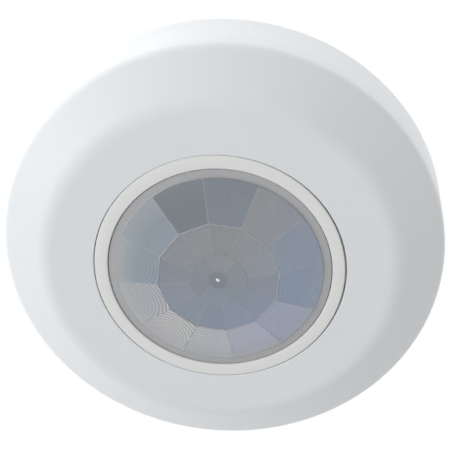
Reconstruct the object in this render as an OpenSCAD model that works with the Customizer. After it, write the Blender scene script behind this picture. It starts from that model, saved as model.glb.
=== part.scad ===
// Round ceiling motion sensor: base plate, circuit board, pull-off cover and
// a turning lens unit. The ceiling is the plane z = 0 and the body hangs
// below it. Depths are measured down from the ceiling.

/* [Overall] */
// Diameter of the cover at its back edge
cover_d = 115; // [112:1:140]
// Depth of the flat front face below the ceiling
face_depth = 24.1; // [24:0.1:32]

/* [Cover] */
// Gap between the cover's back edge and the ceiling
rim_gap = 0.5; // [0.3:0.1:1]
// Inward lean of the side wall from the back edge to the shoulder
wall_lean = 1.3; // [0.6:0.1:1.4]
// Depth of the bevel between the shoulder and the face
bevel_depth = 6.5; // [5:0.1:8]
// Radial width of the bevel
bevel_w = 12; // [10:0.5:14]
// Rounding of the shoulder
shoulder_round = 2.8; // [1:0.1:3]
// Rounding between the bevel and the face
face_round = 9; // [4:0.5:12]
// Wall thickness of the cover
cover_wall = 2.2; // [1.8:0.1:2.4]
// Number of stiffening ribs behind the face
rib_count = 12; // [6:1:18]
// Number of keys that line the cover up with the base
key_count = 3; // [2:1:4]

/* [Lens unit] */
// Diameter of the opening in the face
opening_d = 63.2; // [52:0.2:64]
// Radial gap between the ring and the opening
ring_gap = 0.35; // [0.3:0.05:0.6]
// Radial width of the ring's visible land
ring_land = 3.2; // [2.6:0.1:4]
// Width of the smooth band between the ring and the facets
lens_band = 2.0; // [1.5:0.1:3]
// Corner radius of the twelve-sided middle field of the lens
field_r = 15.3; // [12:0.1:17]
// Height of the middle field's edge in front of the face
field_rise = 3.2; // [2:0.1:4]
// Further rise from the middle field's edge to the crown
crown_rise = 0.45; // [0.2:0.05:1]
// Radius of the inner round field
inner_field_r = 7.1; // [5:0.1:9]
// Radius of the centre disc
centre_disc_r = 2.4; // [1.5:0.1:3.5]
// Wall thickness of the lens
lens_wall = 1.0; // [0.8:0.1:1.4]

/* [Base] */
// Thickness of the base plate's floor
base_floor = 2.4; // [2:0.1:3]
// Thickness of the upright rim of the base plate
base_rim = 2.2; // [1.6:0.1:2.6]
// Depth that the upright rim reaches below the ceiling
rim_reach = 9; // [7:0.1:11]
// Running gap between the base rim and the cover
cover_fit = 0.3; // [0.2:0.05:0.5]
// Distance between the two mounting slots, centre to centre
slot_spacing = 84; // [80:0.5:86]
// End-to-end length of a mounting slot
slot_length = 12; // [9:0.5:12]
// Width of a mounting slot
slot_w = 4.5; // [4:0.1:5]
// Distance of the cable entry from the centre
entry_offset = 22; // [16:0.5:24]
// Diameter of the cable entry hole in the base
entry_d = 12; // [8:0.5:14]
// Diameter of the hole through the grommet
grommet_bore_d = 7; // [4:0.5:8]

/* [Circuit board] */
// Depth of the board's back face below the ceiling
board_depth = 9.0; // [8:0.1:9.4]
// Thickness of the board
board_t = 1.6; // [1:0.1:1.8]
// Free gap between the board's edge and the base rim
board_edge_gap = 5.15; // [4.5:0.05:7]
// Number of ways in the terminal block
terminal_ways = 6; // [4:1:6]
// Distance between terminals
terminal_pitch = 5.08; // [5:0.01:5.1]
// Number of jumpers
jumper_count = 2; // [2:1:2]

/* [Hidden] */
$fn = 96;
eps = 0.01;
arc_steps = 8;

// Cover outline: radius and depth of each corner of the outer skin.
rim_r = cover_d / 2;
shoulder_r = rim_r - wall_lean;
shoulder_depth = face_depth - bevel_depth;
face_r = shoulder_r - bevel_w;
bevel_slope = bevel_depth / bevel_w;
wall_slope = wall_lean / (shoulder_depth - rim_gap);
inner_face_depth = face_depth - cover_wall;
inner_face_r = face_r - cover_wall * tan(atan(bevel_slope) / 2);
inner_rim_r = rim_r - cover_wall;
inner_shoulder_depth = (inner_face_depth
    - bevel_slope * (inner_rim_r + wall_slope * rim_gap - inner_face_r))
    / (1 - bevel_slope * wall_slope);
inner_shoulder_r = inner_rim_r - wall_slope * (inner_shoulder_depth - rim_gap);

// Lens unit: radii, and depths counted back from the face.
opening_r = opening_d / 2;
ring_r = opening_r - ring_gap;
ring_inner_r = ring_r - ring_land;
part_gap = 0.1;
ring_flange_t = 1.0;
ring_flange_r = opening_r + 1.6;
ring_flange_back = cover_wall + part_gap + ring_flange_t;
ring_land_t = 1.6;
ring_skirt_w = 1.3;
lens_flange_t = 0.8;
lens_flange_r = ring_r - ring_skirt_w - part_gap;
lens_riser_r = ring_inner_r - cover_fit;
lens_band_step = 0.4;
facet_r = lens_riser_r - lens_band;
seal_w = lens_flange_r - lens_riser_r;
seat_inner_r = ring_flange_r + cover_fit;
seat_w = 1.8;
seat_outer_r = seat_inner_r + seat_w;
retainer_t = 1.2;
retainer_front = ring_flange_back + part_gap;
retainer_back = retainer_front + retainer_t;
retainer_inner_r = lens_riser_r + 0.6;
retainer_bosses = 3;
boss_r = 2.6;
boss_centre_r = seat_outer_r + 2.4;
small_screw_r = 0.9;
small_head_r = 1.9;
small_head_t = 1.2;
boss_hole_floor = cover_wall * 0.6;
facet_count = 12;
facet_turn = 14.1;
facet_apothem = field_r * cos(180 / facet_count);
facet_slope = field_rise / (facet_r - facet_apothem);
facet_foot = 1.2;
facet_foot_r = (facet_apothem + (field_rise + facet_foot) / facet_slope)
    / cos(180 / facet_count);
inner_disc_t = 0.12;
nipple_r = 0.5;

// Base plate.
base_r = inner_rim_r - wall_slope * (rim_reach - rim_gap) - cover_fit;
rim_inner_r = base_r - base_rim;
key_w = 3;
key_back_depth = base_floor + 0.6;
key_front_depth = rim_reach + 1;
key_r = rim_inner_r + 0.6;
key_turn = 75;
slot_recess = 0.6;
slot_recess_w = slot_w + 5;
standoff_r = 3.2;
pilot_r = 1.3;
screw_gap = 0.05;

// Circuit board and the ring of tall parts near its edge.
board_front = board_depth + board_t;
board_r = rim_inner_r - board_edge_gap;
board_flat = board_r - 2.4;
notch_w = 16;
notch_start = slot_spacing / 2 - slot_length / 2 - 2;
tall_ring_r = seat_outer_r + 4.6;
standoff_centre_r = board_r - 5;
standoff_turns = [33, 147, 234, 306];
board_screw_head_r = 2.7;
board_screw_head_t = 1.8;
inner_zone_r = retainer_inner_r - 1.4;

// Sensor in the middle of the board.
spacer_r = 5.6;
spacer_h = 2.4;
header_r = 4.6;
header_t = 0.6;
can_r = 4.15;
can_h = 4.0;
can_wall = 0.25;
window_l = 4.6;
window_w = 3.4;
window_t = 0.5;
lead_r = 0.25;
lead_circle_r = 2.54;
tail_reach = 1.4;

// Terminal block, with its wire openings facing outwards.
block_l = terminal_ways * terminal_pitch;
block_w = 7.6;
block_h = 8.2;
block_y = -(seat_outer_r + 0.6 + block_w / 2);
clamp_w = 3.2;
clamp_h = 4.2;
clamp_l = 4.6;
clamp_lift = 1.0;
clamp_gap = 0.1;
wire_w = 2.2;
terminal_head_r = 1.7;
terminal_shank_r = 1.15;
terminal_head_t = 1.4;

// Relay, capacitors and chips.
relay_size = [14.8, 7.2, 8.4];
relay_turn = 119;
capacitor_r = 3.0;
capacitor_h = 7.6;
capacitor_turns = [56, 69];
sleeve_t = 0.15;
chip_lift = 0.3;
big_chip = [8.7, 3.9, 1.5];
small_chip = [4.9, 3.9, 1.5];
chip_pitch = 1.27;
big_chip_at = [-12.5, 10.5];
small_chip_at = [11.5, 12];
lead_w = 0.4;
lead_t = 0.2;
lead_reach = 1.05;
resistor_size = [2.0, 1.25, 0.5];
ceramic_size = [2.0, 1.25, 0.9];

// Jumpers: a header with two pins under each push-on cap.
pin_pitch = 2.54;
pin_half = 0.32;
header_h = 2.5;
pin_h = 4.0;
cap_w = 2.4;
cap_l = 5.0;
cap_h = 4.3;
cap_slot = 0.37;
cap_roof = 0.25;
jumper_spacing = 5.08;
jumper_turn = -28;
jumper_r = inner_zone_r - 5.2;

// Light, adjuster and tamper switch.
led_r = 1.5;
led_flange_r = 1.9;
led_h = 4.4;
led_stand = 1.2;
led_at = [10.5, -13.5];
trimmer_size = [6.6, 6.6, 3.6];
trimmer_rotor_r = 2.3;
trimmer_rotor_t = 1.2;
trimmer_turn = 205;
trimmer_centre_r = board_r - 25.5;
tamper_size = 6;
tamper_h = 4.2;
tamper_turn = 21;
tamper_cavity_r = 1.8;
tamper_collar_r = 1.65;
tamper_stem_r = 1.1;
tamper_stem_gap = 0.08;
tamper_floor = 0.5;
tamper_roof = 0.6;
tamper_collar_t = 0.6;
tamper_stand = 3.6;
tamper_post_r = 1.6;
tamper_post_gap = 0.3;
spring_r = 1.3;
spring_wire_r = 0.16;
spring_coils = 4;
spring_sides = 8;

// Everything is drawn with depth as a positive height, then hung.
module hang() {
    mirror([0, 0, 1]) children();
}

module place(turn, radius) {
    rotate([0, 0, turn]) translate([radius, 0, 0]) children();
}

module tube(outer, inner, low, high) {
    translate([0, 0, low]) difference() {
        cylinder(h = high - low, r = outer);
        translate([0, 0, -eps]) cylinder(h = high - low + 2 * eps, r = inner);
    }
}

module block(size, low) {
    translate([-size[0] / 2, -size[1] / 2, low]) cube(size);
}

module slot_shape(length, width, low, high) {
    reach = (length - width) / 2;
    translate([0, 0, low]) linear_extrude(high - low) {
        square([2 * reach, width], center = true);
        translate([reach, 0]) circle(d = width);
        translate([-reach, 0]) circle(d = width);
    }
}

// Points of a round corner at b, between the lines to a and to c.
function unit(v) = v / norm(v);
function round_corner(a, b, c, radius) =
    let (
        u = unit(a - b),
        v = unit(c - b),
        half = acos(u * v) / 2,
        centre = b + unit(u + v) * radius / sin(half),
        start = b + u * radius / tan(half) - centre,
        end = b + v * radius / tan(half) - centre,
        from = atan2(start[1], start[0]),
        turn = atan2(end[1], end[0]) - from,
        sweep = turn > 180 ? turn - 360 : (turn < -180 ? turn + 360 : turn)
    )
    [for (i = [0 : arc_steps])
        centre + radius * [cos(from + sweep * i / arc_steps), sin(from + sweep * i / arc_steps)]];

// ---- base plate ----

module standoffs() {
    for (turn = standoff_turns) {
        place(turn, standoff_centre_r)
            tube(standoff_r, pilot_r, base_floor - eps, board_depth);
    }
}

module back_pockets() {
    pocket_depth = 0.7;
    pocket_count = 8;
    web = 8;
    knockout_r = 10;
    knockout_groove = 1.2;
    drill_mark_r = 2;
    translate([0, entry_offset, -eps]) difference() {
        cylinder(h = pocket_depth + eps, r = knockout_r);
        cylinder(h = pocket_depth + eps, r = knockout_r - knockout_groove);
    }
    for (turn = [45 : 90 : 315]) {
        place(turn, slot_spacing / 2) translate([0, 0, -eps])
            cylinder(h = pocket_depth + eps, r = drill_mark_r);
    }
    for (i = [0 : pocket_count - 1]) {
        rotate([0, 0, i * 360 / pocket_count + web / 2])
            rotate_extrude(angle = 360 / pocket_count - web)
                translate([entry_offset + entry_d / 2 + 2.5, -eps])
                    square([3, pocket_depth + eps]);
    }
}

module base_plate() {
    color("white") hang() difference() {
        union() {
            cylinder(h = base_floor, r = base_r);
            tube(base_r, rim_inner_r, base_floor - eps, rim_reach);
            standoffs();
        }
        for (i = [0 : key_count - 1]) {
            place(key_turn + i * 360 / key_count, rim_inner_r + base_rim / 2)
                block([2 * base_rim, key_w + 2 * cover_fit, rim_reach], base_floor);
        }
        for (side = [-1, 1]) {
            translate([side * slot_spacing / 2, 0, 0]) {
                slot_shape(slot_length, slot_w, -eps, base_floor + eps);
                slot_shape(slot_length + slot_recess_w - slot_w, slot_recess_w,
                    base_floor - slot_recess, base_floor + eps);
            }
        }
        translate([0, -entry_offset, -eps]) {
            cylinder(h = base_floor + 2 * eps, d = entry_d);
            cylinder(h = base_floor / 2, d = entry_d + 3);
        }
        back_pockets();
    }
}

module cable_grommet() {
    lip = 1.2;
    color("dimgray") hang() translate([0, -entry_offset, 0]) difference() {
        union() {
            translate([0, 0, 0.1]) cylinder(h = base_floor + lip - 0.1, r = entry_d / 2 - screw_gap);
            translate([0, 0, 0.1]) cylinder(h = base_floor / 2 - 0.2, r = entry_d / 2 + 1.4);
            translate([0, 0, base_floor]) cylinder(h = lip, r = entry_d / 2 + 1.6);
        }
        translate([0, 0, -eps]) cylinder(h = base_floor + lip + 1, d = grommet_bore_d);
    }
}

// ---- circuit board ----

module circuit_board() {
    color("darkgreen") hang() translate([0, 0, board_depth]) difference() {
        cylinder(h = board_t, r = board_r);
        for (side = [0, 180]) {
            rotate([0, 0, side]) translate([notch_start, -notch_w / 2, -eps])
                cube([board_r, notch_w, board_t + 2 * eps]);
        }
        translate([-board_r, -board_flat - board_r, -eps])
            cube([2 * board_r, board_r, board_t + 2 * eps]);
        for (turn = standoff_turns) {
            place(turn, standoff_centre_r) translate([0, 0, -eps])
                cylinder(h = board_t + 2 * eps, r = pilot_r + 0.3);
        }
    }
}

module board_screws() {
    color("silver") hang() for (turn = standoff_turns) {
        place(turn, standoff_centre_r) difference() {
            union() {
                translate([0, 0, base_floor + 1.5])
                    cylinder(h = board_front - base_floor - 1.5 + eps, r = pilot_r - screw_gap);
                translate([0, 0, board_front])
                    cylinder(h = board_screw_head_t, r = board_screw_head_r);
            }
            block([3.2, 0.6, 1], board_front + board_screw_head_t - 0.9);
            block([0.6, 3.2, 1], board_front + board_screw_head_t - 0.9);
        }
    }
}

// ---- heat sensor in the middle ----

module pir_spacer() {
    color("white") hang() difference() {
        translate([0, 0, board_front]) cylinder(h = spacer_h, r = spacer_r);
        for (turn = [0, 120, 240]) {
            place(turn, lead_circle_r) translate([0, 0, board_front - eps])
                cylinder(h = spacer_h + 2 * eps, r = lead_r + screw_gap);
        }
    }
}

module pir_header() {
    low = board_front + spacer_h;
    color("silver") hang() {
        translate([0, 0, low]) cylinder(h = header_t, r = header_r);
        for (turn = [0, 120, 240]) {
            place(turn, lead_circle_r) translate([0, 0, board_front])
                cylinder(h = spacer_h + eps, r = lead_r);
        }
    }
}

module pir_can() {
    low = board_front + spacer_h + header_t;
    color("silver") hang() difference() {
        translate([0, 0, low]) cylinder(h = can_h, r = can_r);
        translate([0, 0, low - eps]) cylinder(h = can_h - can_wall + eps, r = can_r - can_wall);
        block([window_l - 0.6, window_w - 0.6, 1], low + can_h - 0.5);
    }
}

module pir_window() {
    high = board_front + spacer_h + header_t + can_h - can_wall;
    color("dimgray") hang() block([window_l, window_w, window_t], high - window_t);
}

// ---- terminal block ----

module each_terminal() {
    for (i = [0 : terminal_ways - 1]) {
        translate([(i - (terminal_ways - 1) / 2) * terminal_pitch, block_y, 0]) children();
    }
}

module terminal_block() {
    wall = 0.8;
    color("mediumseagreen") hang() difference() {
        translate([0, block_y, 0]) block([block_l, block_w, block_h], board_front);
        each_terminal() {
            translate([0, -block_w / 2 + (clamp_l + 2 * clamp_gap) / 2 + wall, 0])
                block([clamp_w + 2 * clamp_gap, clamp_l + 2 * clamp_gap, clamp_h + 2 * clamp_gap],
                    board_front + clamp_lift - clamp_gap);
            translate([0, -block_w / 2, 0])
                block([wire_w + 0.6, 4, wire_w + 0.6], board_front + clamp_lift + 0.4);
            translate([0, -block_w / 2 + clamp_gap + clamp_l / 2 + wall, board_front + clamp_lift])
                cylinder(h = block_h, r = terminal_head_r + 0.15);
        }
    }
}

module each_clamp() {
    each_terminal() translate([0, -block_w / 2 + clamp_gap + clamp_l / 2 + 0.8, 0]) children();
}

module terminal_clamps() {
    low = board_front + clamp_lift;
    color("gold") hang() each_clamp() difference() {
        block([clamp_w, clamp_l, clamp_h], low);
        block([wire_w, clamp_l + 1, wire_w], low + 0.6);
        translate([0, 0, low + 1]) cylinder(h = clamp_h, r = terminal_shank_r + screw_gap);
    }
}

module terminal_screws() {
    top = board_front + clamp_lift + clamp_h;
    color("silver") hang() each_clamp() difference() {
        union() {
            translate([0, 0, top - 1.4]) cylinder(h = 1.4 + 0.6 + eps, r = terminal_shank_r);
            translate([0, 0, top + 0.6]) cylinder(h = terminal_head_t, r = terminal_head_r);
        }
        block([2 * terminal_head_r + 1, 0.5, 1], top + 0.6 + terminal_head_t - 0.7);
    }
}

// ---- relay, capacitors and chips ----

module alarm_relay() {
    color("ivory") hang() place(relay_turn, tall_ring_r) rotate([0, 0, 90]) difference() {
        block(relay_size, board_front);
        translate([0, 0, board_front + relay_size[2] - 0.3]) slot_shape(4, 1, 0, 1);
    }
}

module each_capacitor() {
    for (turn = capacitor_turns) {
        place(turn, tall_ring_r) children();
    }
}

module capacitor_cans() {
    color("silver") hang() each_capacitor() difference() {
        translate([0, 0, board_front]) cylinder(h = capacitor_h, r = capacitor_r);
        for (cross = [0, 90]) {
            rotate([0, 0, cross]) block([3.6, 0.25, 1], board_front + capacitor_h - 0.15);
        }
    }
}

module capacitor_sleeves() {
    lip = 0.5;
    color("navy") hang() each_capacitor()
        tube(capacitor_r + screw_gap + sleeve_t, capacitor_r + screw_gap, board_front + 0.3,
            board_front + capacitor_h - lip);
}

module chip(size, at) {
    translate([at[0], at[1], 0]) difference() {
        block(size, board_front + chip_lift);
        translate([-size[0] / 2 + 1, -size[1] / 2 + 1, board_front + chip_lift + size[2] - 0.15])
            cylinder(h = 1, r = 0.4);
    }
}

module chip_bodies() {
    color("black") hang() {
        chip(big_chip, big_chip_at);
        chip(small_chip, small_chip_at);
    }
}

module leads(size, at, count) {
    for (i = [0 : count - 1], side = [-1, 1]) {
        translate([at[0] + (i - (count - 1) / 2) * chip_pitch,
            at[1] + side * (size[1] / 2 + lead_reach / 2), 0]) {
            block([lead_w, lead_reach, lead_t], board_front);
            translate([0, -side * (lead_reach - lead_t) / 2, 0])
                block([lead_w, lead_t, chip_lift + size[2] / 2], board_front);
        }
    }
}

module chip_leads() {
    color("silver") hang() {
        leads(big_chip, big_chip_at, 7);
        leads(small_chip, small_chip_at, 4);
    }
}

// Rows of small parts between the chips and the sensor.
RESISTORS = [[-12.5, 3.4, 0], [-15.5, 3.4, 0], [-9.5, 3.4, 0], [-13, -8, 90], [-10.6, -8, 90],
    [-8.2, -8, 90], [13, 5, 0], [13, 2.6, 0], [13, 0.2, 0], [3, 17.5, 90], [-3, -16, 0], [0.5, -16, 0]];
CERAMICS = [[-18.6, 10.5, 90], [6, 14, 90], [17, 9, 90], [-5.5, 17, 0], [-13, -3, 0], [1, -11.5, 0]];

module chip_parts(list, size) {
    for (p = list) {
        translate([p[0], p[1], 0]) rotate([0, 0, p[2]]) block(size, board_front);
    }
}

module chip_resistors() {
    color("black") hang() chip_parts(RESISTORS, resistor_size);
}

module chip_capacitors() {
    color("tan") hang() chip_parts(CERAMICS, ceramic_size);
}

// ---- jumpers ----

module at_jumper(i) {
    place(jumper_turn, jumper_r)
        translate([0, (i - (jumper_count - 1) / 2) * jumper_spacing, 0]) children();
}

module jumper_header() {
    length = (jumper_count - 1) * jumper_spacing + pin_pitch;
    color("black") hang() place(jumper_turn, jumper_r) difference() {
        block([2 * pin_pitch, length, header_h], board_front);
        for (i = [0 : jumper_count - 1], side = [-1, 1]) {
            translate([side * pin_pitch / 2, (i - (jumper_count - 1) / 2) * jumper_spacing, 0])
                block([2 * pin_half + 0.02, 2 * pin_half + 0.02, header_h + 1], board_front - 0.5);
        }
    }
}

module jumper_pins() {
    color("gold") hang() for (i = [0 : jumper_count - 1], side = [-1, 1]) {
        at_jumper(i) translate([side * pin_pitch / 2, 0, 0])
            block([2 * pin_half, 2 * pin_half, header_h + pin_h], board_front);
    }
}

module jumper_cap(i) {
    low = board_front + header_h + part_gap;
    color("royalblue") hang() at_jumper(i) difference() {
        block([cap_l, cap_w, cap_h], low);
        for (side = [-1, 1]) {
            translate([side * pin_pitch / 2, 0, 0])
                block([2 * cap_slot, 2 * cap_slot, cap_h - cap_roof + 1], low - 1);
        }
        block([1.2, cap_w + 1, 1], low + cap_h - 0.4);
    }
}

module jumper_cap_1() {
    jumper_cap(0);
}

module jumper_cap_2() {
    jumper_cap(1);
}

// ---- light ----

module status_led() {
    low = board_front + led_stand;
    color("mistyrose") hang() translate([led_at[0], led_at[1], low]) {
        cylinder(h = 0.8, r = led_flange_r);
        cylinder(h = led_h - led_r, r = led_r);
        translate([0, 0, led_h - led_r]) sphere(r = led_r, $fn = 48);
    }
}

module led_leads() {
    color("silver") hang() for (side = [-1, 1]) {
        translate([led_at[0] + side * pin_pitch / 2, led_at[1], 0])
            block([0.4, 0.4, led_stand], board_front);
    }
}

// ---- sensitivity adjuster ----

module trimmer_body() {
    top = board_front + trimmer_size[2];
    color("royalblue") hang() place(trimmer_turn, trimmer_centre_r) difference() {
        block(trimmer_size, board_front);
        translate([0, 0, top - trimmer_rotor_t])
            cylinder(h = trimmer_rotor_t + 1, r = trimmer_rotor_r + 0.1);
    }
}

module trimmer_rotor() {
    top = board_front + trimmer_size[2];
    color("white") hang() place(trimmer_turn, trimmer_centre_r) difference() {
        translate([0, 0, top - trimmer_rotor_t + 0.05])
            cylinder(h = trimmer_rotor_t + 0.25, r = trimmer_rotor_r);
        block([3.4, 0.7, 1], top - 0.4);
        block([0.7, 3.4, 1], top - 0.4);
        translate([1.7, 0, top]) rotate([0, 0, 45]) block([0.8, 0.8, 1], 0);
    }
}

// ---- tamper switch ----

cavity_low = board_front + tamper_floor;
cavity_high = board_front + tamper_h - tamper_roof;

module tamper_housing() {
    color("dimgray") hang() place(tamper_turn, tall_ring_r) difference() {
        block([tamper_size, tamper_size, tamper_h], board_front);
        translate([0, 0, cavity_low]) cylinder(h = cavity_high - cavity_low, r = tamper_cavity_r);
        translate([0, 0, cavity_low])
            cylinder(h = tamper_h, r = tamper_stem_r + tamper_stem_gap);
    }
}

function spring_ring(share, low, high) =
    let (a = 360 * spring_coils * share, out = [cos(a), sin(a), 0])
    [for (j = [0 : spring_sides - 1])
        let (b = 360 * j / spring_sides)
        (spring_r - spring_wire_r + spring_wire_r * cos(b)) * out
            + [0, 0, low + (high - low) * share + spring_wire_r * sin(b)]];

module tamper_spring() {
    low = cavity_low + 2 * spring_wire_r;
    high = cavity_high - tamper_collar_t - 3 * spring_wire_r;
    rings = spring_coils * 16;
    color("silver") hang() place(tamper_turn, tall_ring_r) polyhedron(
        points = [for (i = [0 : rings]) each spring_ring(i / rings, low, high)],
        faces = concat(
            [[for (j = [spring_sides - 1 : -1 : 0]) j]],
            [for (i = [0 : rings - 1], j = [0 : spring_sides - 1])
                let (k = (j + 1) % spring_sides)
                [i * spring_sides + j, i * spring_sides + k,
                    (i + 1) * spring_sides + k, (i + 1) * spring_sides + j]],
            [[for (j = [0 : spring_sides - 1]) rings * spring_sides + j]]
        )
    );
}

module tamper_plunger() {
    color("ivory") hang() place(tamper_turn, tall_ring_r) {
        translate([0, 0, cavity_high - tamper_collar_t - part_gap / 2])
            cylinder(h = tamper_collar_t, r = tamper_collar_r);
        translate([0, 0, cavity_high - tamper_collar_t])
            cylinder(h = tamper_roof + tamper_stand + tamper_collar_t, r = tamper_stem_r);
    }
}

// ---- solder tails on the back of the board ----

module tail(x, y) {
    translate([x, y, board_depth - tail_reach / 2]) cylinder(h = tail_reach / 2, r = 0.45, $fn = 24);
    translate([x, y, board_depth - tail_reach]) cylinder(h = tail_reach, r = 0.3, $fn = 24);
}

module solder_tails() {
    color("silver") hang() {
        each_terminal() tail(0, 0);
        place(relay_turn, tall_ring_r) for (x = [-2.54, 2.54], y = [-5.08, 0, 5.08]) {
            tail(x, y);
        }
        each_capacitor() for (y = [-1.27, 1.27]) {
            tail(0, y);
        }
        for (turn = [0, 120, 240]) {
            place(turn, lead_circle_r) tail(0, 0);
        }
        for (i = [0 : jumper_count - 1]) {
            at_jumper(i) for (x = [-1.27, 1.27]) {
                tail(x, 0);
            }
        }
        for (side = [-1, 1]) {
            tail(led_at[0] + side * pin_pitch / 2, led_at[1]);
        }
        place(tamper_turn, tall_ring_r) for (y = [-2.2, 2.2]) {
            tail(0, y);
        }
        place(trimmer_turn, trimmer_centre_r) for (y = [-2.5, 2.5]) {
            tail(0, y);
        }
    }
}

// ---- cover ----

module cover_skin() {
    back = [rim_r, rim_gap];
    shoulder = [shoulder_r, shoulder_depth];
    edge = [face_r, face_depth];
    front = [opening_r, face_depth];
    inner_front = [opening_r, inner_face_depth];
    inner_edge = [inner_face_r, inner_face_depth];
    inner_shoulder = [inner_shoulder_r, inner_shoulder_depth];
    inner_back = [inner_rim_r, rim_gap];
    rotate_extrude($fn = 180) polygon(concat(
        [back],
        round_corner(back, shoulder, edge, shoulder_round),
        round_corner(shoulder, edge, front, face_round),
        [front, inner_front, inner_edge, inner_shoulder, inner_back]
    ));
}

module cover_ribs() {
    rib_h = retainer_front - cover_wall;
    rib_t = 1.0;
    for (i = [0 : rib_count - 1]) {
        rotate([0, 0, (i + 0.5) * 360 / rib_count])
            translate([seat_outer_r - 0.5, -rib_t / 2, inner_face_depth - rib_h])
                cube([inner_face_r - seat_outer_r + 0.5, rib_t, rib_h + eps]);
    }
}

module cover_keys() {
    for (i = [0 : key_count - 1]) {
        intersection() {
            place(key_turn + i * 360 / key_count, key_r)
                translate([0, -key_w / 2, key_back_depth])
                    cube([base_rim + 2, key_w, key_front_depth - key_back_depth]);
            cylinder(h = face_depth, r = inner_shoulder_r + cover_wall / 2);
        }
    }
}

module cover_bosses() {
    for (i = [0 : retainer_bosses - 1]) {
        place(90 + i * 360 / retainer_bosses, boss_centre_r)
            translate([0, 0, face_depth - retainer_front])
                cylinder(h = retainer_front - cover_wall / 2, r = boss_r);
    }
}

module front_cover() {
    post_low = board_front + tamper_h + tamper_stand + tamper_post_gap;
    color("white") hang() difference() {
        union() {
            cover_skin();
            tube(seat_outer_r, seat_inner_r, face_depth - retainer_front, inner_face_depth + eps);
            cover_ribs();
            cover_keys();
            cover_bosses();
            place(tamper_turn, tall_ring_r) translate([0, 0, post_low])
                cylinder(h = inner_face_depth - post_low + cover_wall / 2, r = tamper_post_r);
        }
        for (i = [0 : retainer_bosses - 1]) {
            place(90 + i * 360 / retainer_bosses, boss_centre_r)
                translate([0, 0, face_depth - retainer_front - eps])
                    cylinder(h = retainer_front - boss_hole_floor, r = small_screw_r);
        }
        translate([0, 0, face_depth - retainer_front - 1])
            cylinder(h = retainer_front - cover_wall + 1, r = seat_inner_r);
    }
}

// ---- lens unit ----

module lens_retainer() {
    color("white") hang() translate([0, 0, face_depth - retainer_back]) difference() {
        union() {
            cylinder(h = retainer_t, r = seat_outer_r);
            for (i = [0 : retainer_bosses - 1]) {
                place(90 + i * 360 / retainer_bosses, 0) {
                    translate([seat_inner_r, -boss_r - 0.4, 0])
                        cube([boss_centre_r - seat_inner_r, 2 * boss_r + 0.8, retainer_t]);
                    translate([boss_centre_r, 0, 0]) cylinder(h = retainer_t, r = boss_r + 0.4);
                }
            }
        }
        translate([0, 0, -eps]) cylinder(h = retainer_t + 2 * eps, r = retainer_inner_r);
        for (i = [0 : retainer_bosses - 1]) {
            place(90 + i * 360 / retainer_bosses, boss_centre_r)
                translate([0, 0, -eps]) cylinder(h = retainer_t + 2 * eps, r = small_screw_r + 0.2);
        }
    }
}

module retainer_screws() {
    top = face_depth - retainer_back;
    color("silver") hang() for (i = [0 : retainer_bosses - 1]) {
        place(90 + i * 360 / retainer_bosses, boss_centre_r) difference() {
            union() {
                translate([0, 0, top - small_head_t]) cylinder(h = small_head_t, r = small_head_r);
                translate([0, 0, top - eps])
                    cylinder(h = retainer_back - boss_hole_floor - part_gap, r = small_screw_r - screw_gap);
            }
            block([2.4, 0.5, 1], top - small_head_t - 0.5);
            block([0.5, 2.4, 1], top - small_head_t - 0.5);
        }
    }
}

module lens_ring() {
    chamfer = 0.25;
    top = face_depth;
    back = face_depth - ring_flange_back;
    color("whitesmoke") hang() rotate_extrude($fn = 180) polygon([
        [ring_inner_r, top - ring_land_t],
        [ring_inner_r, top - chamfer],
        [ring_inner_r + chamfer, top],
        [ring_r - chamfer, top],
        [ring_r, top - chamfer],
        [ring_r, top - cover_wall - part_gap],
        [ring_flange_r, top - cover_wall - part_gap],
        [ring_flange_r, back],
        [ring_r - ring_skirt_w, back],
        [ring_r - ring_skirt_w, top - ring_land_t]
    ]);
}

// The lens's solid envelope; inset moves every surface towards the inside.
module lens_envelope(inset, floor_depth) {
    band_depth = face_depth - lens_band_step - inset;
    facet_top = face_depth + field_rise - inset;
    crown_top = facet_top + crown_rise;
    translate([0, 0, floor_depth]) cylinder(h = band_depth - floor_depth, r = lens_riser_r - inset);
    rotate([0, 0, facet_turn]) {
        intersection() {
            translate([0, 0, face_depth - facet_foot - inset])
                cylinder(h = facet_foot + field_rise, r1 = facet_foot_r, r2 = field_r, $fn = facet_count);
            translate([0, 0, face_depth - facet_foot - inset])
                cylinder(h = facet_foot + field_rise + 1, r = facet_r - inset);
        }
        translate([0, 0, facet_top])
            cylinder(h = crown_rise, r1 = field_r, r2 = inner_field_r, $fn = facet_count);
    }
    translate([0, 0, crown_top - eps]) cylinder(h = inner_disc_t, r = inner_field_r * cos(15));
}

module fresnel_lens() {
    flange_front = face_depth - ring_land_t - part_gap;
    flange_back = flange_front - lens_flange_t;
    color("lightsteelblue") hang() {
        difference() {
            union() {
                lens_envelope(0, flange_back);
                translate([0, 0, flange_back]) cylinder(h = lens_flange_t, r = lens_flange_r);
            }
            lens_envelope(lens_wall, flange_back - 1);
        }
        translate([0, 0, face_depth + field_rise + crown_rise]) {
            cylinder(h = 2 * inner_disc_t, r = centre_disc_r);
            translate([0, 0, 2 * inner_disc_t - eps]) cylinder(h = 0.3, r1 = nipple_r, r2 = 0.25);
        }
    }
}

module lens_seal() {
    front = face_depth - ring_land_t - part_gap - lens_flange_t;
    color("dimgray") hang()
        tube(lens_flange_r, lens_flange_r - seal_w, face_depth - ring_flange_back, front);
}

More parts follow.
